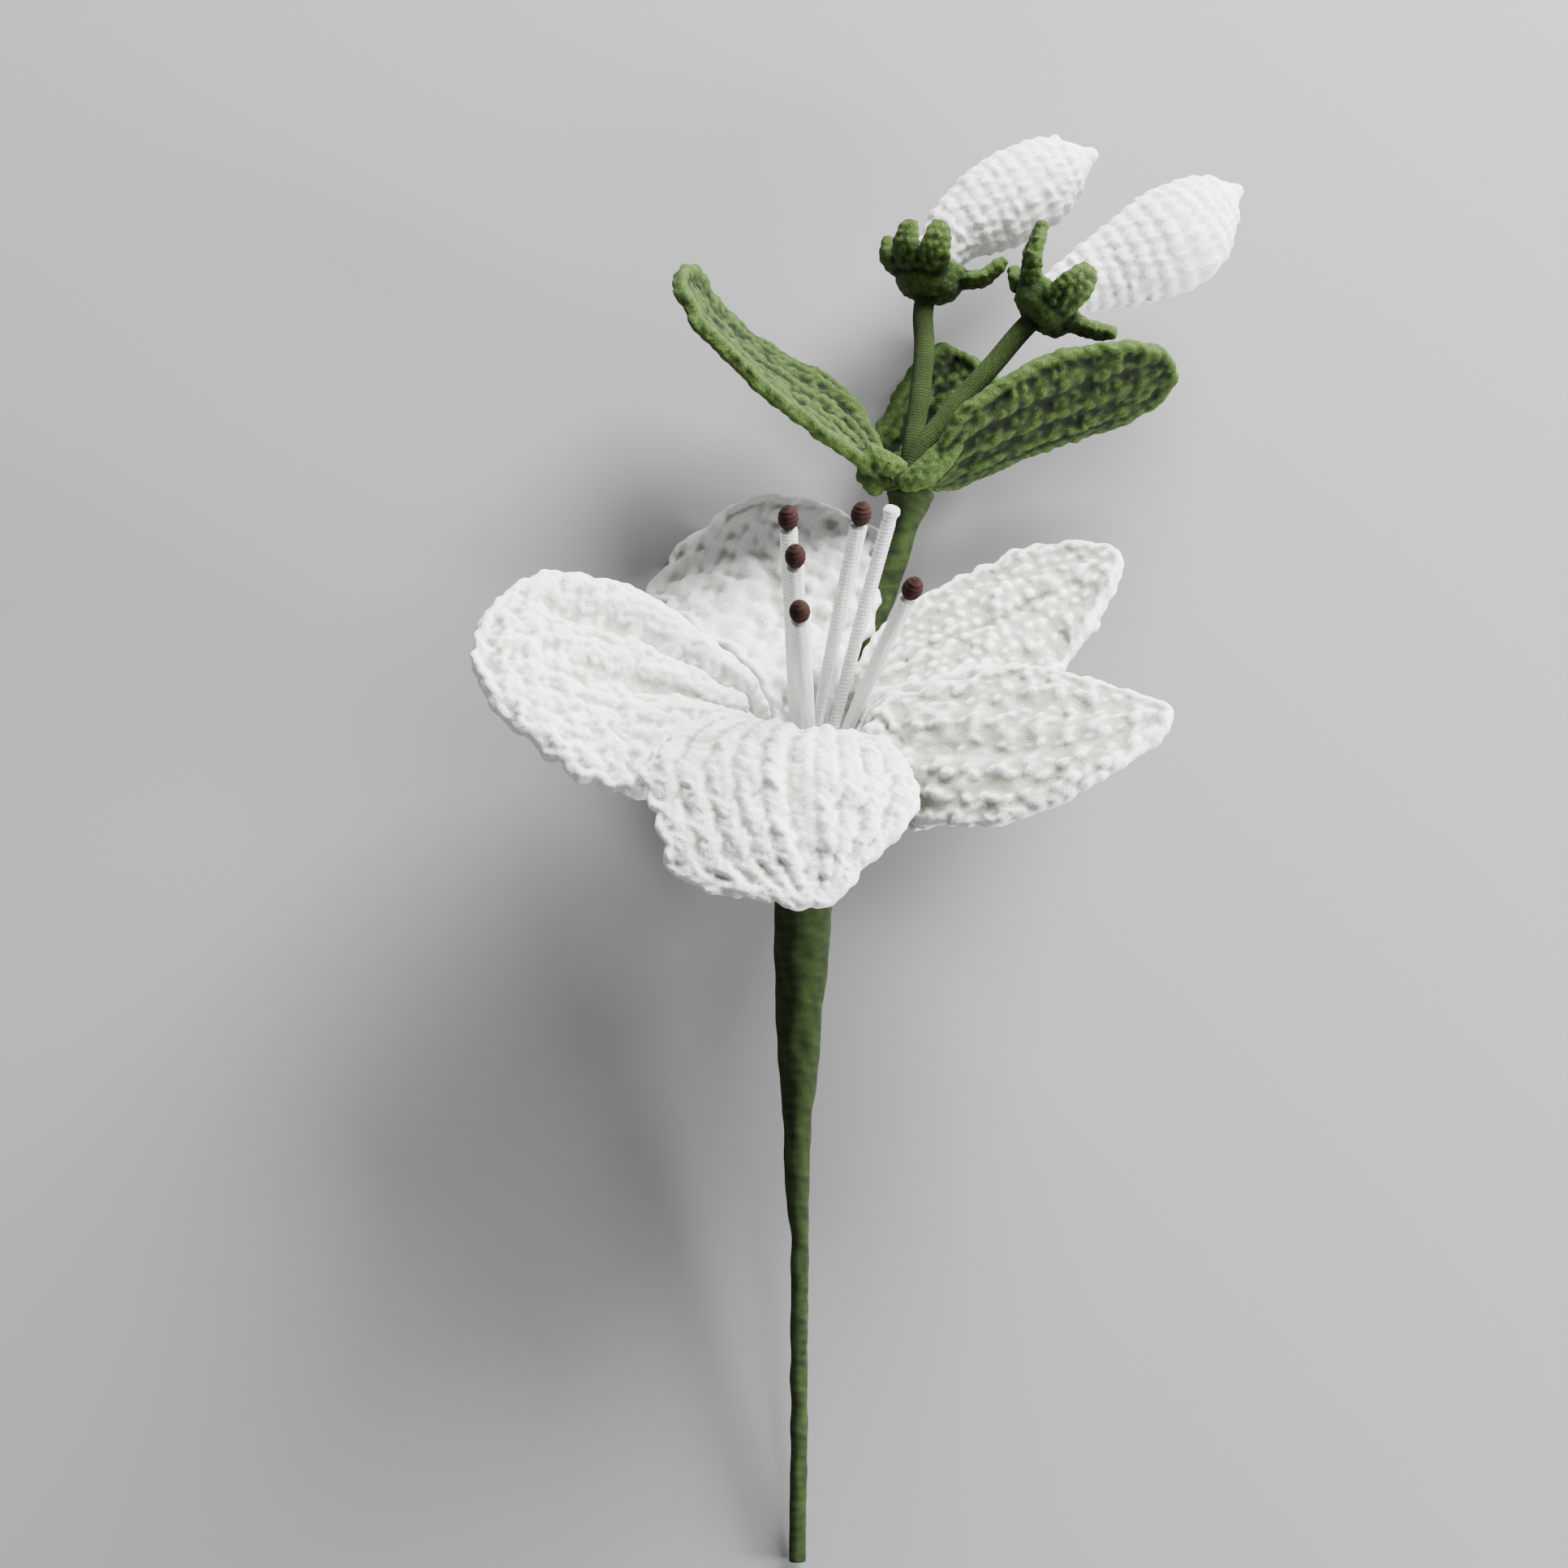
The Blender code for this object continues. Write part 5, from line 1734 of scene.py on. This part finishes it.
for name, (degrees, tip) in TIPS.items():
    foot = around_bloom(STAMEN_FOOT, STAMEN_CIRCLE, degrees)
    tip = np.asarray(tip)
    middle = (foot + tip) / 2 + STAMEN_BOW * AXIS
    line = (
        (*foot, FILAMENT_FOOT),
        (*middle, (FILAMENT_FOOT + FILAMENT_TIP) / 2),
        (*tip, PISTIL_TIP if name == "pistil" else FILAMENT_TIP),
    )
    way = unit(tip - middle)
    line = smooth_path(line, FILAMENT_DETAIL).tolist()
    if name == "pistil":
        line += [(*(tip + along * way), radius) for along, radius in PISTIL_KNOT]
    piece(name + "_worked", [wound(line, **FILAMENT_WINDING)], WHITE_YARN, "white_yarn", name)
    if name == "pistil":
        continue
    anther = name.replace("filament", "anther")
    barrel = wound(anther_line(tip, way), **ANTHER_WINDING)
    piece(anther + "_worked", [barrel], BROWN_THREAD, "brown_thread", anther)

# %% [markdown]
# ## The calyces
# Under each bud sits a small green cup with five sepals, worked in rounds of fine yarn. The cup
# is an outline turned round the bud's own axis, and each sepal is a flat tongue that leaves its
# rim and bends out. They could stay separate pieces, but no seam shows between them on the
# real one, so they are felted together: the skin closes over the places where they meet.

# %% The cup and a sepal
GREEN_ROUNDS = {"pitch": 1.6, "wide": 2.6, "radius": 0.75, "rise": 0.6, "bars": 0.15, "loose": 0.8}
CUP_OUTLINE = (
    (0.0, BUD_STEM + GAP),
    (0.2, 4.6),
    (1.7, 6.5),
    (4.2, 7.5),
    (6.8, 7.8),
    (7.6, 7.2),
    (6.8, 6.2),
    (4.5, 5.5),
    (2.5, 4.4),
    (1.9, BUD_STEM + GAP),
)
CUP_OUTSIDE = 6
CUP_SIDES = 28
SEPAL_ROOT_HEIGHT = 4.8
SEPAL_ROOT_RADIUS = 6.6
SEPAL_SHEET = 3.6
SEPAL_SHAPE = (1.05, 1.0, 0.6)
SEPAL_PLACES = 16
SEPAL_SIDES = 20


def worked_cup(seat, way, seed):
    """The closed wall of a cup round this axis, and the stitches on its outside."""
    across = unit(np.cross(way, FRONT))
    other = np.cross(way, across)
    turns = np.arange(CUP_SIDES) * 2 * pi / CUP_SIDES
    spokes = np.cos(turns)[:, None] * across + np.sin(turns)[:, None] * other
    loops = np.array([seat + height * way + radius * spokes for height, radius in CUP_OUTLINE])
    wall = backing(np.concatenate((loops, loops[:1])))
    wall["caps"] = wall["caps"][:0]
    outline = CUP_OUTLINE[:CUP_OUTSIDE]
    outside = np.array([seat + height * way + (radius - SUNK) * spokes for height, radius in outline])
    return [wall, rounds(outside, **GREEN_ROUNDS, seed=seed)]


def worked_sepal(seat, way, middle, tip, width, seed):
    """A flat tongue from the cup's rim through its middle to its tip."""
    reach = np.asarray(middle) - seat
    out = unit(reach - way * np.dot(reach, way))
    root = seat + SEPAL_ROOT_HEIGHT * way + SEPAL_ROOT_RADIUS * out
    places = [(*spot, share) for spot, share in zip((root, middle, tip), SEPAL_SHAPE)]
    line = smooth_path(places, SEPAL_PLACES)
    wide = width * line[:, 3] - SUNK
    thin = SEPAL_SHEET / 2 * line[:, 3] ** 0.5 - SUNK
    grid = rings(line[:, :3], wide, thin, SEPAL_SIDES, np.cross(out, way))
    return [backing(grid), rounds(grid, **GREEN_ROUNDS, seed=seed)]


print("a cup is", 2 * max(radius for _, radius in CUP_OUTLINE), "mm wide")

# %% Calyces
# lift below 0 spreads painted shade over the whole of both calyces
CALYX_SKIN = {"cell": 0.37, "rounds": 1, "lift": -0.1}
FIRST_CUP_SEED = 300
FIRST_SEPAL_SEED = 320
SEPALS = {
    "left": (
        ((28.4, 15.2, 270.8), (29.4, 15.4, 276.2), 3.3),
        ((38.0, 22.4, 265.0), (43.4, 21.0, 269.0), 2.8),
        ((22.2, 18.3, 271.4), (23.5, 18.5, 276.8), 3.4),
        ((18.9, 24.8, 269.6), (18.8, 24.4, 274.4), 3.2),
        ((30.5, 33.4, 270.8), (33.0, 34.2, 274.6), 3.0),
    ),
    "right": (
        ((48.2, 9.4, 268.2), (50.4, 9.2, 275.0), 2.8),
        ((57.0, 5.2, 261.4), (59.8, 5.6, 265.2), 3.8),
        ((61.4, 10.8, 252.6), (65.4, 9.4, 252.0), 2.9),
        ((45.6, 17.8, 263.4), (44.9, 18.4, 267.0), 3.0),
        ((58.6, 23.4, 264.4), (61.4, 24.2, 267.6), 2.9),
    ),
}
for number, (side, (seat, way)) in enumerate(SEATS.items()):
    parts = worked_cup(seat, way, FIRST_CUP_SEED + number)
    for count, (middle, tip, width) in enumerate(SEPALS[side]):
        seed = FIRST_SEPAL_SEED + 10 * number + count
        parts += worked_sepal(seat, way, middle, tip, width, seed)
    skin = felted(parts, **CALYX_SKIN)
    piece("calyx_%s_worked" % side, [skin], GREEN_YARN, "green_yarn", "calyx_" + side)

# %% [markdown]
# ## The buds
# A closed bud is a small crocheted bag, filled with fibre and drawn shut at its tip. It is
# taken as slightly flat, and the last stitches stand up as a little knot.
# The bag keeps its form, so it is given as rings along a bent line instead of being blown up in
# a cloth simulation.

# %% Buds
BUD_SEAT = (2.5, 3.4)
BUD_NECK = (6.0, 4.4)
BUD_FLATNESS = 0.78
BUD_PLACES = 48
BUD_SIDES = 48
BUD_SUNK = 0.3
LEAST_HALF = 0.4
BUD_FACING = (-1.0, 0.0, 1.0)
BUD_ROUNDS = {
    "pitch": 3.2,
    "wide": 3.9,
    "radius": 1.25,
    "rise": 0.85,
    "bars": 0.1,
    "loose": 0.7,
    "first": 0.08,
    "last": 0.93,
}
KNOT_RADII = (2.0, 1.7, 0.8)
KNOT_PLACES = 8
KNOT_SIDES = 16
# lift is painted light: the whole bud is drawn paler
BUD_SKIN = {"cell": 0.41, "rounds": 2, "lift": 0.35}
FIRST_BUD_SEED = 400
BUDS = {
    "left": (
        (32.3, 25.8, 274.4, 6.4),
        (41.2, 27.0, 280.8, 9.3),
        (47.6, 27.8, 284.4, 9.6),
        (54.5, 28.8, 288.8, 7.8),
        (59.6, 29.6, 291.3, 4.2),
        (62.4, 30.0, 292.6, 1.3),
    ),
    "right": (
        (62.0, 15.2, 264.8, 7.2),
        (70.2, 16.2, 268.4, 9.7),
        (78.9, 17.5, 273.3, 11.0),
        (85.4, 18.8, 279.0, 8.1),
        (89.3, 19.5, 281.8, 4.5),
        (91.8, 20.0, 283.2, 1.5),
    ),
}


def bud_grid(line):
    """Rings along a bud's line, round at its seat and slightly flat from a third of it on."""
    flatten = np.clip(np.linspace(0, 3, BUD_PLACES), 0, 1)
    wide = np.maximum(line[:, 3] - BUD_SUNK, LEAST_HALF)
    thin = np.maximum(line[:, 3] * (1 - (1 - BUD_FLATNESS) * flatten) - BUD_SUNK, LEAST_HALF)
    return rings(line[:, :3], wide, thin, BUD_SIDES, BUD_FACING)


def bud_knot(line):
    """The little knot that closes a bud, a step past its tip."""
    places = (line[-3, :3], line[-1, :3], 2 * line[-1, :3] - line[-2, :3])
    point = smooth_path([(*place, radius) for place, radius in zip(places, KNOT_RADII)], KNOT_PLACES)
    return rings(point[:, :3], point[:, 3], point[:, 3], KNOT_SIDES, BUD_FACING)


for number, (side, free) in enumerate(BUDS.items()):
    seat, way = SEATS[side]
    hidden = [(*(seat + height * way), radius) for height, radius in (BUD_SEAT, BUD_NECK)]
    line = smooth_path(hidden + list(free), BUD_PLACES)
    grid = bud_grid(line)
    stitches = rounds(grid, **BUD_ROUNDS, seed=FIRST_BUD_SEED + number)
    skin = felted([backing(grid), backing(bud_knot(line)), stitches], **BUD_SKIN)
    made = piece("bud_%s_worked" % side, [skin], WHITE_YARN, "white_yarn", "bud_" + side)

# %% [markdown]
# ## What is hidden inside
# The wires and the fibre filling keep the shape of their solids, since nobody sees them in the
# finished spray. They still get true finishes, for anyone who opens it: drawn steel, a little
# streaky, and white fibre with soft tufts. These go into the slots of the solids themselves,
# which is the simplest way where a form is already right.

# %% Wire and filling
WIRE_GREYS = ((0.42, 0.43, 0.45, 1), (0.66, 0.67, 0.68, 1))
WIRE_STREAKS = 900.0
WIRE_ROUGHNESS = 0.25
FIBRE_WHITES = ((0.7, 0.7, 0.69, 1), (0.9, 0.9, 0.89, 1))
FIBRE_TUFTS = 700.0
TUFT_HEIGHT = 0.4


def metal_material():
    made = bpy.data.materials.new("florist_wire")
    made.use_nodes = True
    tree = made.node_tree
    shader = tree.nodes["Principled BSDF"]
    spot = tree.nodes.new("ShaderNodeTexCoord")
    drawn = noise(tree, spot.outputs["Object"], WIRE_STREAKS, 4.0)
    wire_up(tree, mixed(tree, drawn, *WIRE_GREYS), shader.inputs["Base Color"])
    rough = sum_node(tree, "MULTIPLY_ADD", drawn, WIRE_ROUGHNESS, WIRE_ROUGHNESS)
    wire_up(tree, rough, shader.inputs["Roughness"])
    shader.inputs["Metallic"].default_value = 1.0
    return made


def filling_material():
    made = bpy.data.materials.new("fibre_filling")
    made.use_nodes = True
    tree = made.node_tree
    shader = tree.nodes["Principled BSDF"]
    spot = tree.nodes.new("ShaderNodeTexCoord")
    tufts = noise(tree, spot.outputs["Object"], FIBRE_TUFTS, 5.0)
    wire_up(tree, mixed(tree, tufts, *FIBRE_WHITES), shader.inputs["Base Color"])
    bump = tree.nodes.new("ShaderNodeBump")
    bump.inputs["Distance"].default_value = TUFT_HEIGHT * MM
    wire_up(tree, tufts, bump.inputs["Height"])
    wire_up(tree, bump.outputs["Normal"], shader.inputs["Normal"])
    shader.inputs["Roughness"].default_value = 1.0
    return made


WIRE = metal_material()
FILLING = filling_material()
for name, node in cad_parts.items():
    if "wire" in name:
        node.material_slots[0].material = WIRE
    if "filling" in name:
        node.material_slots[0].material = FILLING
print("materials:", WIRE.name, FILLING.name)

# %% [markdown]
# ## Triangles in all
# The worked pieces may stand out of the solids by a stitch, but no more. The triangles of all
# worked pieces are added up.

# %% Triangles in all
print("triangles in all:", sum(triangle_count.values()))
